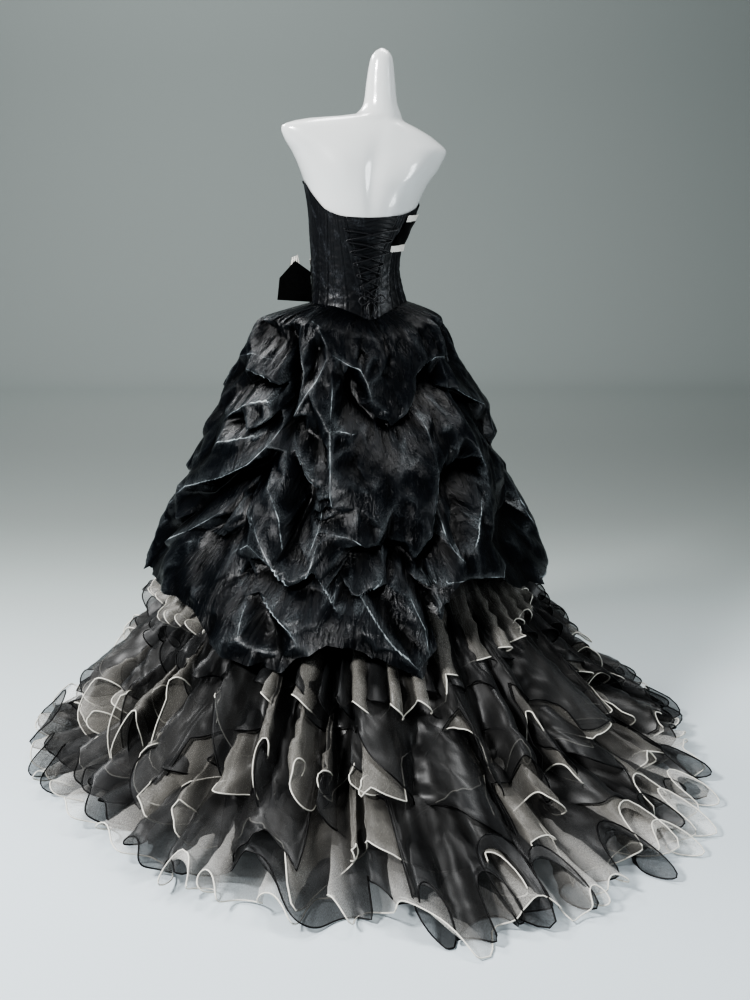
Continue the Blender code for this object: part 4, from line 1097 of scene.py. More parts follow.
# %% Uneven, but the same each run
def drift(places, seed, slowest, quickest, size):
    """Smooth uneven change around the gown, from a seed; places run from 0 to 1."""
    chance = np.random.default_rng(seed)
    total = np.zeros_like(places)
    for count in range(slowest, quickest + 1):
        weight = chance.normal() / math.sqrt(count / slowest)
        total = total + weight * np.sin(2 * np.pi * (count * places + chance.random()))
    return total * size / math.sqrt(quickest - slowest + 1) * 1.2


print("uneven change at four places:", drift(np.arange(4) / 4, 11, 3, 11, 1.0).round(2))

# %% Rings and values of the ruffles
Ruffle = namedtuple("Ruffle", "top hem_ring bow_out bow_down waves swing lift uneven stand_off "
                              "seed slant")
HEM_RINGS = {
    "ivory_short": Section(0.330, 0.502, 0.416, 0.364, 0.616, 0, 0.000, 8),
    "black_short": Section(0.262, 0.568, 0.480, 0.420, 0.710, 0, 0.000, 8),
    "upper": Section(0.140, 0.640, 0.558, 0.482, 0.830, 0, 0.060, 8),
    "middle": Section(0.095, 0.680, 0.592, 0.516, 0.870, 0, 0.085, 8),
    "lower": Section(0.048, 0.768, 0.684, 0.617, 0.962, 0, 0.145, 8),
    "floor": Section(0.024, 0.848, 0.745, 0.738, 1.040, 0, 0.207, 8),
    "tulle": Section(0.018, 0.868, 0.765, 0.756, 1.058, 0, 0.207, 8),
}
RUFFLES = {
    # top, hem ring, bow out, bow down, waves, swing, lift, uneven, stand off, seed, slant
    "ivory_short": Ruffle(0.500, "ivory_short", 1.3, 1.0, 42, 1.30, 0.40, 0.20, 0.006, 11, 0.012),
    "black_short": Ruffle(0.420, "black_short", 1.3, 1.0, 44, 1.50, 0.40, 0.20, 0.006, 12, 0.018),
    "upper": Ruffle(0.390, "upper", 1.05, 1.0, 28, 1.65, 0.20, 0.25, 0.014, 13, 0.045),
    "middle": Ruffle(0.320, "middle", 1.10, 1.0, 30, 1.65, 0.20, 0.25, 0.008, 16, 0.040),
    "lower": Ruffle(0.220, "lower", 1.20, 0.95, 30, 1.65, 0.55, 0.25, 0.008, 14, 0.028),
    "floor": Ruffle(0.130, "floor", 1.0, 0.80, 32, 1.80, 0.60, 0.25, 0.009, 15, 0.024),
    "tulle": Ruffle(0.100, "tulle", 1.0, 0.70, 35, 1.70, 0.55, 0.22, 0.006, 17, 0.016),
}
print("ruffles:", list(RUFFLES))

# %% Shape of a ruffle
RING_STEPS = 1440
SMALL_TURN = 0.004          # radians, to find the direction along a hem
LONGEST = 1.3               # waves stop growing at this share of the ruffle's length
# What changes unevenly around a ruffle: seed added, slowest and quickest change, size
CHANGES = {
    "place": (0, 5, 14, 0.36),
    "wave_size": (100, 3, 11, 1.0),
    "lean": (200, 4, 12, 1.1),
    "hem_up": (300, 3, 16, 0.010),
    "hem_out": (400, 3, 12, 0.022),
    "crumple": (500, 30, 70, 0.0035),
    "cross_crumple": (600, 24, 60, 0.0035),
    "slant": (700, 2, 9, 0.9),
}


def varied(shape, shares, change, share_of_size=1.0):
    """One of the uneven changes around a ruffle."""
    added, slowest, quickest, size = CHANGES[change]
    return drift(shares, shape.seed + added, slowest, quickest, size * share_of_size)


def level_table(section):
    """A table of sections that holds one ring at its own height."""
    return [section, section._replace(height=section.height - 1)]


def even_ring(section, shares):
    """Angles that stand at shares of a hem ring's length, and that length."""
    points = ring(level_table(section), turns(RING_STEPS), np.full(RING_STEPS, section.height))
    lengths = running_length(np.concatenate((points, points[:1])))
    ends = 2 * np.pi * np.arange(RING_STEPS + 1) / RING_STEPS
    return np.interp((shares % 1.0) * lengths[-1], lengths, ends), lengths[-1]


def hem_places(shape, phases):
    """Where the waves of a ruffle stand: shares of the way around, angles, the hem's length."""
    shares = phases / (2 * np.pi * shape.waves)
    shares = shares + varied(shape, shares, "place", 1 / shape.waves)
    angles, around_hem = even_ring(HEM_RINGS[shape.hem_ring], shares)
    return shares, angles, around_hem


def hem_directions(section, angles):
    """Points on a hem's ring, the directions along it and the directions outwards."""
    level, heights = level_table(section), np.full(angles.shape, section.height)
    hem = ring(level, angles, heights)
    tangent = ring(level, angles + SMALL_TURN, heights) - hem
    tangent /= np.linalg.norm(tangent, axis=-1, keepdims=True)
    outward = np.stack((-tangent[..., 1], tangent[..., 0], np.zeros_like(angles)), axis=-1)
    return hem, tangent, outward


def ruffle_points(shape, phases, downs):
    """Points of a ruffle: phases of its waves across, and shares of its length down."""
    section = HEM_RINGS[shape.hem_ring]
    shares, angles, around_hem = hem_places(shape, phases)
    hem, tangent, outward = hem_directions(section, angles)
    top = ring(FOUNDATION, angles, np.full(angles.shape, shape.top), shape.stand_off)
    wave = around_hem / shape.waves
    size = 1 + varied(shape, shares, "wave_size", shape.uneven)
    lean = varied(shape, shares, "lean")
    grown = np.clip(downs, 0, LONGEST)
    ahead, beside = meander(shape.swing * np.clip(size, 0.55, 1.12) * grown ** 0.9,
                            phases + lean * downs)
    # The waves swing to both sides of a line that bows out from the gathered top to the hem
    way = np.clip(downs, 0, None)[..., None]
    line = top + (hem - top) * way ** shape.bow_out
    line = line + outward * (varied(shape, shares, "hem_out") * downs)[..., None]
    points = line + tangent * (ahead * wave)[..., None] + outward * (beside * wave)[..., None]
    # The cloth is lifted where a wave stands out, and each wave slants
    rise = shape.lift * beside * wave * downs + varied(shape, shares, "hem_up") * downs
    points[..., 2] = shape.top + (section.height - shape.top) * way[..., 0] ** shape.bow_down
    points[..., 2] += rise
    slant = shape.slant * (1 + varied(shape, shares, "slant"))
    points[..., 2] -= slant * np.sin(phases + lean * downs) * grown ** 1.5
    # Fine gathers fade out below the seam, and small crumples grow towards the hem
    gather = 0.0055 * np.exp(-downs / 0.45) * np.sin(phases * 4 + 9 * downs * np.sin(shares * 44))
    points += outward * gather[..., None]
    crumple = varied(shape, shares + 0.13 * downs, "crumple")
    crumple = crumple + varied(shape, shares - 0.09 * downs, "cross_crumple")
    points += outward * (crumple * downs)[..., None]
    points[..., 2] += crumple * downs * 0.6
    # Painted shade: darker near the gathered top and in the inner bends of the waves
    depth = np.clip(0.15 + 0.95 * downs, 0, 1) * np.clip(0.68 + 2.2 * beside, 0.30, 1)
    return points, depth


print("the upper hem is", round(float(even_ring(HEM_RINGS["upper"], np.zeros(1))[1]), 2), "m around")

# %% Panels cut into the hems
EDGE_WIDTH = 1.1            # degrees that a steep edge of a panel takes
# Panels listed for the seen side: first angle, how much is cut off there and at the
# next panel, as shares of the layer's depth of cut; less than nothing is a longer point
SEEN_PANELS = {
    "short_ivory_ruffle": (
        (-80, 0.2, 0.6), (-62, 0.0, 0.5), (-40, 0.0, -0.3), (-10, -1.1, -1.5), (8, -1.4, -1.2),
        (32, 0.8, 0.6), (52, 0.1, 0.0), (76, 0.4, 0.0), (100, 0.3, 0.5)),
    "upper_black_flounce": (
        (-88, 0.5, 0.2), (-70, 0.5, 0.9), (-56, 0.05, 0.3), (-40, 0.6, 0.95), (-28, 0.0, 0.2),
        (-12, 0.9, 0.35), (2, 0.2, 0.7), (14, 0.6, 1.0), (28, 0.0, 0.5), (46, 0.8, 1.0),
        (66, 0.55, 0.1), (84, 0.0, 0.2), (100, 0.8, 0.5)),
    "middle_black_flounce": (
        (-86, 0.1, 0.6), (-64, 0.95, 0.7), (-48, 0.0, 0.45), (-30, 0.8, 1.0), (-16, 0.05, 0.35),
        (4, 0.9, 0.7), (16, 0.4, 0.0), (34, 1.0, 0.8), (50, 0.1, 0.5), (72, 0.9, 0.6),
        (88, 0.0, 0.3), (104, 0.6, 0.4)),
    "lower_black_flounce": (
        (-86, 0.0, 0.25), (-60, 1.0, 0.75), (-44, 0.15, 0.5), (-26, 0.9, 0.8), (-13, 0.0, -0.30),
        (1, -0.30, 0.0), (8, 0.8, 1.0), (22, 0.3, 0.0), (40, 0.9, 0.6), (54, 0.0, 0.35),
        (74, 0.8, 1.0), (90, 0.2, 0.0)),
}


def cutting(angles, layer):
    """How far down the cloth is cut: panels with slanting hems, and steep edges between them."""
    chance = np.random.default_rng(layer.cut_seed)
    starts = (np.arange(layer.panels) + chance.uniform(-0.35, 0.35, layer.panels)) / layer.panels
    panels = [(start % 1.0 * 360 - 180, *chance.random(2)) for start in starts]
    placed = SEEN_PANELS.get(layer.name, ())
    if placed:
        panels = [row for row in panels if not placed[0][0] - 6 < row[0] < placed[-1][0] + 8]
    panels = sorted(panels + list(placed))
    places, values = [], []
    for (start, first, last), (end, _, _) in zip(panels, panels[1:] + [(panels[0][0] + 360, 0, 0)]):
        places += [start + EDGE_WIDTH / 2, end - EDGE_WIDTH / 2]
        values += [first, last]
    degrees = (np.degrees(angles) + 180) % 360 - 180
    places = np.concatenate([np.array(places) + turn for turn in (-360, 0, 360)])
    return 1 + layer.longer - layer.cut_depth * np.interp(degrees, places, np.tile(values, 3))


print("panels placed by hand:", {name: len(rows) for name, rows in SEEN_PANELS.items()})

# %% Keep the cloth within the gown's outline and above the floor
# The flounces stay within these rings, which are those of the solids' outermost waves
ENVELOPE = [Section(*row) for row in (
    (0.600, 0.450, 0.380, 0.340, 0.540, 0, 0.000, 8),
    (0.330, 0.540, 0.454, 0.402, 0.656, 0, 0.000, 8),
    (0.262, 0.608, 0.516, 0.458, 0.753, 0, 0.000, 8),
    (0.130, 0.715, 0.630, 0.525, 0.893, 0, 0.060, 8),
    (0.085, 0.750, 0.665, 0.560, 0.925, 0, 0.085, 8),
    (0.046, 0.815, 0.730, 0.660, 0.985, 0, 0.145, 8),
    (0.008, 0.860, 0.755, 0.775, 1.035, 0, 0.207, 8),
)]
PAST_ENVELOPE = 0.040       # a hem may stand out this share further


def within_envelope(points):
    """Pull in what stands out past the gown's outline, softly."""
    rows = np.array(ENVELOPE)[::-1]
    heights = points[..., 2]
    left, right, front, back, _, centre_y, turn = (
        np.interp(heights, rows[:, 0], rows[:, column]) for column in range(1, 8))
    turn = np.radians(turn)
    x, y = points[..., 0], points[..., 1] - centre_y
    across = x * np.cos(turn) - y * np.sin(turn)
    along = x * np.sin(turn) + y * np.cos(turn)
    far = np.hypot(across / np.where(across > 0, left, right),
                   along / np.where(along > 0, back, front))
    over = np.clip(far - 1 + PAST_ENVELOPE, 0, None)
    slack = 2 * PAST_ENVELOPE
    wanted = np.minimum(far, 1 - PAST_ENVELOPE) + slack * np.tanh(over / slack)
    share = wanted / np.maximum(far, 1e-6)
    across, along = across * share, along * share
    points[..., 0] = across * np.cos(turn) + along * np.sin(turn)
    points[..., 1] = along * np.cos(turn) - across * np.sin(turn) + centre_y
    return points


FLOOR_CLEARANCE = 0.003
FLOOR_SOFTNESS = 0.006
FAR_ABOVE = 30              # times the softness, where the floor no longer matters


def soft_floor(points, clearance):
    """Cloth that would go through the floor lies on it instead."""
    depth = points[..., 2] - clearance
    above = np.clip(depth / FLOOR_SOFTNESS, -FAR_ABOVE, FAR_ABOVE)
    points[..., 2] = clearance + FLOOR_SOFTNESS * np.log1p(np.exp(above))
    far = depth / FLOOR_SOFTNESS > FAR_ABOVE
    points[..., 2][far] = (depth + clearance)[far]
    return points


print("a point 10 cm under the floor comes to",
      soft_floor(np.array([[0.0, 0.0, -0.1]]), FLOOR_CLEARANCE)[0, 2].round(4), "m")

# %% Cords rolled into the hems
CORD_RADIUS = 0.0017
CORD_SIDES = 4


def cord_along(name, line, finish):
    """Round cord along a closed line of points."""
    along = np.roll(line, -1, axis=0) - np.roll(line, 1, axis=0)
    along /= np.maximum(np.linalg.norm(along, axis=1, keepdims=True), 1e-9)
    side = np.cross(along, (0.0, 0.0, 1.0))
    side /= np.maximum(np.linalg.norm(side, axis=1, keepdims=True), 1e-6)
    up = np.cross(side, along)
    turn = turns(CORD_SIDES)
    grid = line[None] + CORD_RADIUS * (np.cos(turn)[:, None, None] * side[None]
                                       + np.sin(turn)[:, None, None] * up[None])
    count = len(line)
    row, column = np.meshgrid(np.arange(CORD_SIDES), np.arange(count), indexing="ij")
    following, beside = (row + 1) % CORD_SIDES, (column + 1) % count
    quads = np.stack((row * count + column, following * count + column,
                      following * count + beside, row * count + beside), axis=-1).reshape(-1, 4)
    return mesh_object(name, grid.reshape(-1, 3).tolist(), quads.tolist(), finish)


print("hem cord:", round(2000 * CORD_RADIUS, 1), "mm thick")

# %% Layers of the ruffles
Layer = namedtuple("Layer", "name node ruffle finish inside cut_seed cut_depth panels longer "
                            "columns rows")
LAYERS = [Layer(*row) for row in (
    # name, replaces, ruffle, finish, inside, seed, depth, panels, longer, columns, rows
    ("short_ivory_ruffle", "ruffle_ivory_short", "ivory_short", "ivory", 0.000, 21, 0.30, 30, 0.06,
     1080, 14),
    ("short_black_ruffle", "ruffle_black_short", "black_short", "black", 0.000, 22, 0.35, 30, 0.08,
     1020, 16),
    ("upper_black_flounce", "flounce_black_upper", "upper", "black", 0.000, 23, 0.56, 26, 0.06,
     1080, 30),
    ("upper_ivory_flounce", "flounce_ivory_upper", "upper", "ivory", 0.008, 24, 0.40, 24, 0.04,
     1080, 30),
    ("middle_black_flounce", "flounce_black_middle", "middle", "black", 0.000, 29, 0.56, 26, 0.08,
     1064, 28),
    ("middle_ivory_flounce", "flounce_ivory_middle", "middle", "ivory", 0.008, 30, 0.40, 24, 0.06,
     1064, 28),
    ("lower_black_flounce", "flounce_black_lower", "lower", "black", 0.000, 25, 0.70, 24, 0.08,
     1102, 28),
    ("lower_ivory_flounce", "flounce_ivory_lower", "lower", "ivory", 0.008, 26, 0.50, 23, 0.14,
     1102, 28),
    ("floor_black_ruffle", "floor_ruffle_black", "floor", "black", 0.000, 27, 0.40, 20, 0.04,
     1064, 22),
    ("floor_ivory_tulle", "floor_tulle_ivory", "tulle", "tulle", 0.000, 28, 0.30, 20, 0.04,
     1064, 22),
)]
CLOTHS = {"black": (BLACK_ORGANZA, BLACK_CORD, "black_organza"),
          "ivory": (IVORY_ORGANZA, IVORY_CORD, "ivory_organza"),
          "tulle": (IVORY_TULLE, IVORY_CORD, "ivory_tulle")}


def grid_normals(grid):
    """Outward direction at every point of a closed grid."""
    along = np.roll(grid, -1, axis=1) - np.roll(grid, 1, axis=1)
    down = np.empty_like(grid)
    down[1:-1] = grid[2:] - grid[:-2]
    down[0], down[-1] = grid[1] - grid[0], grid[-1] - grid[-2]
    normal = np.cross(along, down)
    return normal / np.maximum(np.linalg.norm(normal, axis=-1, keepdims=True), 1e-9)


def layer_grid(layer):
    """Points of one layer, and the painted shade of each: darker deep in the folds and near the top.
    """
    shape = RUFFLES[layer.ruffle]
    phases = 2 * np.pi * shape.waves * np.arange(layer.columns) / layer.columns
    longest = cutting(hem_places(shape, phases)[1], layer)
    downs = np.linspace(0, 1, layer.rows)[:, None] * longest[None, :]
    grid, depth = ruffle_points(shape, np.broadcast_to(phases, downs.shape), downs)
    if layer.inside:
        grid = grid - grid_normals(grid) * layer.inside
    return soft_floor(within_envelope(grid), FLOOR_CLEARANCE), depth


for layer in LAYERS:
    grid, depth = layer_grid(layer)
    cloth, hem_finish, slot = CLOTHS[layer.finish]
    piece = cloth_mesh(layer.name, grid, True, cloth, depth=depth)
    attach(piece, "root")
    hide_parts(layer.node)
    cord = cord_along(layer.name + "_hem_cord", grid[-1], hem_finish)
    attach(cord, "root")
    cut_from(piece, grid, True)

# %% [markdown]
# ## The corset
# A corset is cut in narrow panels, boned between its seams and bound at the top. It could be one
# smooth skin with seams painted on, but seams and bones are what catch the light, so the panels
# are finely divided and each bone, seam and strained crease is real relief.

# %% Surface of the corset
BODICE_SEAMS = {"back_left": (0, 54), "side_left": (54, 96), "front": (96, 270),
                "side_right": (-90, -54), "back_right": (-54, 0)}
BONES = {"back_left": (0.14, 0.50, 0.80), "side_left": (0.35, 0.70),
         "front": (0.10, 0.24, 0.38, 0.50, 0.62, 0.76, 0.90), "side_right": (0.30, 0.65),
         "back_right": (0.20, 0.50, 0.86)}
LACING_OPENING = ((1.000, 1.2), (1.045, 1.2), (1.242, 29.0), (1.300, 29.0))
BODICE_OUT = 0.0036         # the corset's outer face from the form
EDGE_LEAN = 0.0010          # its top edge leans closer
BODICE_ROWS = 96
BINDING_HEIGHT = 0.009
WAIST_RADIUS = 0.112        # turns an angle on the corset into a length
STRAIN_HEIGHT = 1.09        # the cloth is strained most at the waist
CREASE_WAVES = 14
# Reliefs of a panel in metres: how far they stand out or in, where they are, how wide they are
BONE_OUT, BONE_WIDTH = 0.0006, 0.0034
STITCH_IN, STITCH_AT, STITCH_WIDTH = 0.0004, 0.0052, 0.0010
SEAM_IN, SEAM_WIDTH = 0.0012, 0.0018
WELT_OUT, WELT_AT, WELT_WIDTH = 0.0006, 0.005, 0.002
CREASE_OUT, STRAINED_OUT = 0.00006, 0.00016
BINDING_OUT, GROOVE_IN, BINDING_EDGE = 0.0011, 0.0007, 0.0012


def opening_at(heights):
    """Half of the lacing's opening in degrees."""
    places, widths = np.array(LACING_OPENING).T
    return np.interp(heights, places, widths)


def corset_points(angles, heights, out=0.0):
    """The corset's outer face, moved out by a distance."""
    lean = EDGE_LEAN * np.clip((heights - around(BODICE_TOP, angles)) / 0.04 + 1, 0, 1)
    return torso_points(angles, heights, BODICE_OUT + out - lean)


def panel_grid(first, last, bones, columns, seed):
    """Points of one corset panel with its bones, seams, binding and strained creases."""
    across, up = np.broadcast_arrays(np.linspace(0, 1, columns)[None, :],
                                     np.linspace(1, 0, BODICE_ROWS)[:, None])
    low_back, high_back = around(WAIST_SEAM, np.zeros(1)), around(BODICE_TOP, np.zeros(1))
    edge = opening_at(low_back + (high_back - low_back) * up)
    start = np.where(first == 0, edge, first)
    end = np.where(last == 0, -edge, last)
    angles = np.radians(start + (end - start) * across)
    low, high = around(WAIST_SEAM, angles), around(BODICE_TOP, angles)
    heights = low + (high - low) * up
    width = np.radians(np.abs(end - start)) * WAIST_RADIUS
    out = np.zeros(up.shape)
    for place in bones:
        beside = (across - place) * width
        out = out + BONE_OUT * np.exp(-(beside / BONE_WIDTH) ** 4)
        out = out - STITCH_IN * np.exp(-((np.abs(beside) - STITCH_AT) / STITCH_WIDTH) ** 2)
    to_seam = np.minimum(across, 1 - across) * width
    out = out - SEAM_IN * np.exp(-(to_seam / SEAM_WIDTH) ** 2)
    out = out + WELT_OUT * np.exp(-((to_seam - WELT_AT) / WELT_WIDTH) ** 2)
    chance = np.random.default_rng(seed)
    strain = np.exp(-((heights - STRAIN_HEIGHT) / 0.07) ** 2)
    for _ in range(CREASE_WAVES):
        tilt, count, phase = chance.normal() * 9, chance.uniform(130, 420), chance.random() * PHASES
        wave = np.sin(count * heights + tilt * angles + 3 * np.sin(7 * angles + phase) + phase)
        out = out + (CREASE_OUT + STRAINED_OUT * strain) * np.maximum(wave, -0.3)
    above = heights - high + BINDING_HEIGHT
    out = out + BINDING_OUT * np.clip(above / BINDING_EDGE, 0, 1)
    out = out - GROOVE_IN * np.exp(-((above + 0.001) / BINDING_EDGE) ** 2)
    return corset_points(angles, heights, out)


for number, (name, (first, last)) in enumerate(BODICE_SEAMS.items()):
    columns = max(40, int(abs(last - first) * 1.1))
    grid = panel_grid(first, last, BONES[name], columns, 40 + number)
    piece = cloth_mesh("corset_" + name, grid, False, BODICE)
    stand_for(piece, "bodice_" + name)
    cut_from(piece, grid, False)

# %% Gathered panel behind the laces
MODESTY_ROWS = 150
MODESTY_COLUMNS = 28

up = np.linspace(1, 0, MODESTY_ROWS)[:, None]
low, high = around(WAIST_SEAM, np.zeros(1)), around(BODICE_TOP, np.zeros(1))
heights = low + (high - low) * up
half = np.radians(opening_at(heights)) - 0.003
angles = half * np.linspace(-1, 1, MODESTY_COLUMNS)[None, :]
low, high = around(WAIST_SEAM, angles), around(BODICE_TOP, angles)
heights = low + (high - low) * up
gathers = np.sin(heights * 620 + 2.2 * np.sin(angles * 9) + 1.2 * np.sin(heights * 95))
gathers = gathers * 0.0007 + 0.0004 * np.sin(heights * 1180 + 4 * np.sin(angles * 5))
grid = torso_points(angles, heights, 0.0026 + gathers - 0.0008 * np.clip(up * 5 - 4, 0, 1))
modesty = cloth_mesh("modesty_panel", grid, False, BODICE)
stand_for(modesty, "bodice_modesty")
cut_from(modesty, grid, False)

# %% [markdown]
# ## Laces
# A satin cord is laced down the opening from both of its ends, and these are tied in a bow. A
# ribbon painted on the corset would do from afar, but the crossings throw small shadows, so each
# half of the cord is a curve of its own, and a tube of two twisted strands follows it.

# %% Twisted cord
LACE_RADIUS = 0.0020
LACE_SIDES = 10
LACE_PITCH = 0.006          # length of one twist
CURVE_STEPS = 16
LACE_FINISH = cord_finish("lace_satin_cord", (0.010, 0.010, 0.012), gleam=0.6)


def smoothed_line(points, spacing=0.0012):
    """A curve through the points, as points at even spacing, and its length."""
    points = np.array(points, dtype=float)
    ends = np.concatenate((2 * points[:1] - points[1:2], points, 2 * points[-1:] - points[-2:-1]))
    share = np.linspace(0, 1, CURVE_STEPS, endpoint=False)[:, None]
    parts = []
    for a, b, c, d in zip(ends, ends[1:], ends[2:], ends[3:]):
        parts.append(0.5 * (2 * b + (c - a) * share + (2 * a - 5 * b + 4 * c - d) * share ** 2
                            + (3 * b - a - 3 * c + d) * share ** 3))
    fine = np.concatenate(parts + [points[-1:]])
    lengths = running_length(fine)
    even = np.linspace(0, lengths[-1], max(8, int(lengths[-1] / spacing)))
    line = np.stack([np.interp(even, lengths, fine[:, axis]) for axis in range(3)], axis=1)
    return line, lengths[-1]


def twisted_tube(name, points, finish):
    """Cord of two twisted strands along a smooth line, thinner at both ends."""
    line, length = smoothed_line(points)
    along = np.gradient(line, axis=0)
    along /= np.linalg.norm(along, axis=1, keepdims=True)
    side = np.cross(along, (0.3, 1.0, 0.2))
    side /= np.linalg.norm(side, axis=1, keepdims=True)
    up = np.cross(side, along)
    turn = turns(LACE_SIDES)
    twist = np.linspace(0, length / LACE_PITCH, len(line)) * np.pi
    radius = LACE_RADIUS * (0.94 + 0.06 * np.cos(2 * (turn[None, :] - twist[:, None])))
    taper = np.ones(len(line))
    taper[[0, -1]] = 0.3
    radius = (radius * taper[:, None])[..., None]
    grid = line[:, None] + radius * (np.cos(turn)[None, :, None] * side[:, None]
                                     + np.sin(turn)[None, :, None] * up[:, None])
    made = cloth_mesh(name, grid, True, finish)
    return made, line, length


print("lace:", round(2000 * LACE_RADIUS, 1), "mm thick")

# %% Crossing laces
LACING_TOP, LACING_BOTTOM, CROSSINGS = 1.226, 1.062, 6
LACE_UNDER = LACE_RADIUS + 0.0014
LACE_OVER = LACE_UNDER + 2 * LACE_RADIUS + 0.0004


def lace_point(side, height, out):
    """Point beside the lacing's opening, or between its sides where side is less than one."""
    half = math.radians(float(opening_at(height)) + 3.0)
    return corset_points(np.array(side * half), np.array(height), out)


step = (LACING_TOP - LACING_BOTTOM) / CROSSINGS
for name, side, out in (("lace_under", 1, LACE_UNDER), ("lace_over", -1, LACE_OVER)):
    route = []
    for crossing in range(CROSSINGS + 1):
        height = LACING_TOP - step * crossing
        turn = side if crossing % 2 == 0 else -side
        route += [lace_point(turn, height + step * share, out) for share in (0.1, -0.1)]
        if crossing < CROSSINGS:
            route += [lace_point(turn * (1 - 2 * share), height - step * share, out)
                      for share in (0.3, 0.7)]
    piece, _, length = twisted_tube("crossing_" + name, route, LACE_FINISH)
    stand_for(piece, name)
    print(name, "is", round(float(length), 3), "m long")

# %% Bow and free ends
BOW_KNOT = 1.062
BOW_LOOPS = ((-0.004, -0.004, 0.000), (-0.014, 0.006, 0.001), (-0.026, 0.010, 0.002),
             (-0.034, 0.002, 0.002), (-0.027, -0.009, 0.002), (-0.013, -0.006, 0.004),
             (0.000, 0.002, 0.005), (0.012, 0.007, 0.005), (0.024, 0.006, 0.003),
             (0.031, -0.004, 0.002), (0.024, -0.013, 0.001), (0.012, -0.009, 0.000),
             (0.005, -0.003, 0.000))
LACE_ENDS = {"left": ((0.0030, -0.0074, 0.000), (0.009, -0.016, 0.000), (0.012, -0.024, 0.001),
                      (0.011, -0.032, 0.002), (0.006, -0.038, 0.003), (0.006, -0.045, 0.004)),
             "right": ((-0.0030, -0.0066, 0.000), (-0.010, -0.016, 0.000),
                       (-0.013, -0.024, 0.001), (-0.012, -0.031, 0.002),
                       (-0.009, -0.037, 0.003), (-0.011, -0.043, 0.004))}

knot = torso_points(np.zeros(()), np.array(BOW_KNOT),
                    BODICE_OUT + LACE_OVER + 2 * LACE_RADIUS - 0.0014)
bow, _, length = twisted_tube("lacing_bow", [knot + (x, out, up) for x, up, out in BOW_LOOPS],
                              LACE_FINISH)
stand_for(bow, "lace_bow")
for side, route in LACE_ENDS.items():
    piece, line, length = twisted_tube("lacing_end_" + side,
                                       [knot + (x, out, up) for x, up, out in route], LACE_FINISH)
    stand_for(piece, "lace_end_" + side)
    print("free end", side, "is", round(float(length), 3), "m long")

# %% [markdown]
# ## Sash
# The sash is a strip of velvet with pleated organza sewn along both edges, pulled round the
# waist, with a pointed tail that stands up on the hip. The pleats could be a pattern in the
# finish, but they stand against the velvet in profile, so each one is folded in the mesh.

# %% Velvet sash
SASH_PATH = ((-44, 1.214), (-90, 1.216), (-135, 1.190), (-180, 1.150), (-225, 1.118), (-250, 1.107))
SASH_WIDTH = 0.056
SASH_ROWS, SASH_COLUMNS = 26, 240
END_SLANT = 14              # degrees that the lower corner of the sash runs further
SLANT_OVER, END_OVER = 60, 8        # degrees over which the sash slants and its ends close in
SASH_OUT, SASH_PUFF = 0.0026, 0.0016


def sash_points(shares, low, high, columns, out):
    """Points of a strip along the sash: shares across it from its top edge, low and high edges."""
    degrees = np.linspace(SASH_PATH[0][0], SASH_PATH[-1][0], columns)[None, :]
    places, middles = np.array([(-angle, height) for angle, height in SASH_PATH]).T
    middle = smooth(places, middles, -degrees)
    heights = middle + low + (high - low) * shares[:, None]
    end = np.clip(np.minimum(degrees[0, 0] - degrees, degrees - degrees[0, -1]) / END_OVER, 0, 1)
    away = SASH_OUT + SASH_PUFF * end
    below = np.clip(0.5 - (heights - middle) / SASH_WIDTH, 0, 1)
    near_end = np.clip(1 - (degrees[0, 0] - degrees) / SLANT_OVER, 0, 1)
    return torso_points(np.radians(degrees + END_SLANT * below * near_end), heights,
                        BODICE_OUT + away + out)


band_rows = np.linspace(1, 0, SASH_ROWS)
down, across = band_rows[:, None], np.linspace(0, 1, SASH_COLUMNS)[None, :]
soft = 0.0010 * np.sin(down * 9 + 5 * np.sin(across * 11)) + 0.0008 * np.sin(across * 60 + down * 4)
grid = sash_points(band_rows, -SASH_WIDTH / 2, SASH_WIDTH / 2, SASH_COLUMNS, soft)[:, ::-1]
band = cloth_mesh("velvet_sash", grid, False, VELVET)
stand_for(band, "sash_band")
cut_from(band, grid, False)

# %% Pleated edging of the sash
EDGING_WIDTH = 0.014
PLEAT_DEPTH = 0.0022
PLEAT_LENGTH = 0.0075
SASH_ARC = math.radians(210)
SASH_RADIUS = 0.118
EDGING_LENGTH = SASH_ARC * SASH_RADIUS
EDGING_ROWS, PLEAT_COLUMNS = 8, 900
EDGING_OVERLAP = 0.001      # the edging is sewn on this far inside the velvet's edge
PLEAT_TURN = 0.75           # a pleat rises over this share of its length, then folds back

for name, side in (("top", 1), ("bottom", -1)):
    low = side * (SASH_WIDTH / 2 - EDGING_OVERLAP)
    high = side * (SASH_WIDTH / 2 + EDGING_WIDTH)
    shares = np.linspace(0, 1, EDGING_ROWS)
    place = np.linspace(0, EDGING_LENGTH / PLEAT_LENGTH, PLEAT_COLUMNS)[None, :]
    saw = (place + 0.1 * np.sin(place * 0.7)) % 1.0
    fall = np.where(saw < PLEAT_TURN, saw / PLEAT_TURN, (1 - saw) / (1 - PLEAT_TURN))
    pleats = PLEAT_DEPTH * fall * (0.5 + 0.7 * shares[:, None])
    grid = sash_points(shares, low, high, PLEAT_COLUMNS, pleats - 0.0008)
    grid[..., 2] += side * 0.0016 * fall * shares[:, None] ** 2
    grid = grid[:, ::-1] if side < 0 else grid[::-1, ::-1]
    piece = cloth_mesh("pleated_edging_" + name, grid, False, IVORY_PLEATS)
    stand_for(piece, "sash_edging_" + name)
    cut_from(piece, grid, False)

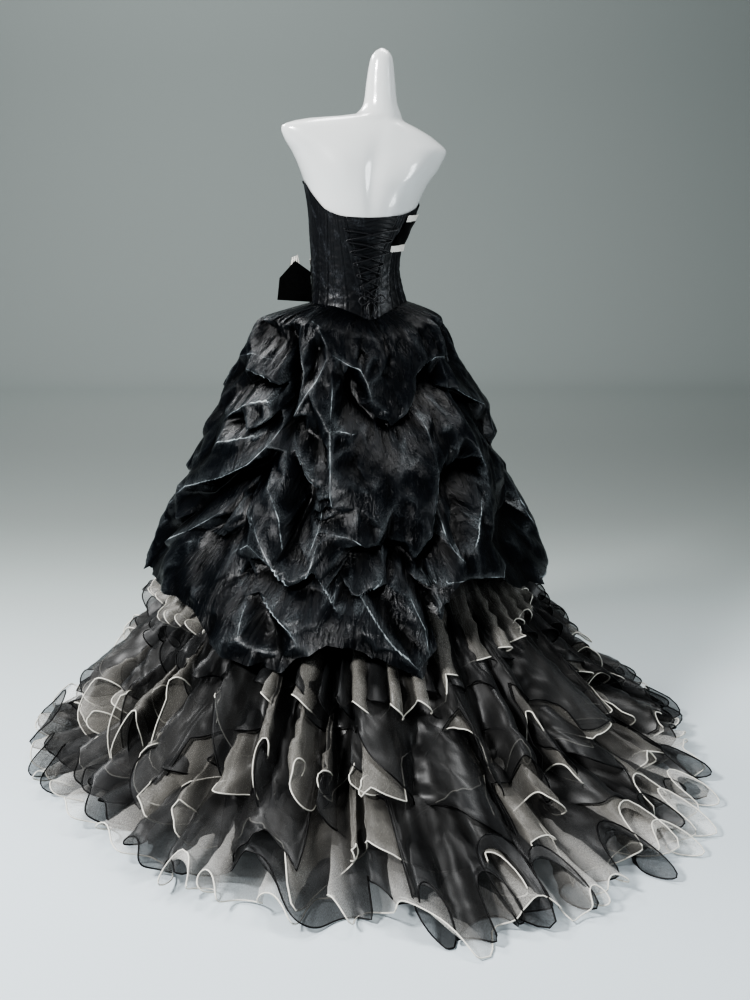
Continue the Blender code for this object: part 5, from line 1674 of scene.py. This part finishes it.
# %% Pointed tail of the sash
TAIL_BASE = np.array((0.1200, 0.012, 1.052))
TAIL_LEAN = -0.16
TAIL_EDGES = ((0, 0), (0.003, 0.072), (0.039, 0.098)), ((0.084, 0.006), (0.078, 0.058), (0.041, 0.098))
TIP_EDGES = ((0.028, 0.086), (0.033, 0.112)), ((0.054, 0.082), (0.048, 0.106))
TAIL_ROWS, TAIL_COLUMNS = 40, 36
TIP_ROWS, TIP_COLUMNS = 10, 60


def leaf_grid(left, right, rows, columns, away, curl):
    """Grid between two edges of a leaf that stands up from the hip, slightly curled."""
    share = np.linspace(1, 0, rows)[:, None]
    sides = []
    for edge in (left, right):
        edge = np.array(edge)
        lengths = running_length(edge)
        sides.append([np.interp(share * lengths[-1], lengths, edge[:, axis]) for axis in (0, 1)])
    across = np.linspace(0, 1, columns)[None, :]
    x = sides[0][0] + (sides[1][0] - sides[0][0]) * across
    up = sides[0][1] + (sides[1][1] - sides[0][1]) * across
    out = away + curl * (np.sin(np.pi * across) * (1 - 0.4 * share) + 0.3 * np.sin(9 * up / 0.1))
    turned = np.stack((x * math.cos(TAIL_LEAN) - out * math.sin(TAIL_LEAN),
                       x * math.sin(TAIL_LEAN) + out * math.cos(TAIL_LEAN), up), axis=-1)
    return TAIL_BASE + turned


grid = leaf_grid(*TAIL_EDGES, TAIL_ROWS, TAIL_COLUMNS, 0.0, 0.0022)[:, ::-1]
tail = cloth_mesh("velvet_tail", grid, False, VELVET)
stand_for(tail, "sash_tail")
cut_from(tail, grid, False)
folds = np.abs(np.sin(np.linspace(0, 12, TIP_COLUMNS)))
pleats = 0.0014 * folds[None, :, None] * np.array((0, 1.0, 0))
grid = leaf_grid(*TIP_EDGES, TIP_ROWS, TIP_COLUMNS, -0.0030, 0.0008)[:, ::-1] - pleats
tip = cloth_mesh("tail_tip", grid, False, IVORY_PLEATS)
stand_for(tip, "sash_tail_tip")
cut_from(tip, grid, False)

# %% [markdown]
# ## Underskirt
# A plain black skirt hangs from the waist inside everything else and carries the ruffles. It
# could keep the solid's flat facets, but glimpses of it show through the organza, so its eight
# gores follow smooth curves: close to the form at the top, through the solids' rings below.

# %% Underskirt
GORE_ROWS, GORE_COLUMNS = 40, 22
GORE_HEM = 0.005            # above the floor
FORM_ENDS = 0.80            # the form's sections are followed down to here
FULL_FROM = 0.9             # and the skirt's own sections from here down
GORES = {"back_right": (-48, 0), "back_left": (0, 48), "left_back": (48, 84), "left_front": (84, 132),
         "front_left": (132, 180), "front_right": (180, 228), "right_front": (-132, -84),
         "right_back": (-84, -48)}
for name, (first, last) in GORES.items():
    angles = np.radians(np.linspace(first, last, GORE_COLUMNS))[None, :]
    top = around(WAIST_SEAM, angles) - 0.004
    heights = top + (GORE_HEM - top) * np.linspace(0, 1, GORE_ROWS)[:, None]
    angles = np.broadcast_to(angles, heights.shape)
    full = ring(FOUNDATION, angles, np.minimum(heights, FULL_FROM), -0.002)
    close = torso_points(angles, np.maximum(heights, FORM_ENDS), 0.003)
    blend = np.clip((top - heights) / np.maximum(top - FULL_FROM, 0.05), 0, 1)[..., None]
    grid = close + (full - close) * blend
    grid[..., 2] = heights
    piece = cloth_mesh("lining_" + name, grid, False, LINING)
    stand_for(piece, "underskirt_" + name)
    cut_from(piece, grid, False)
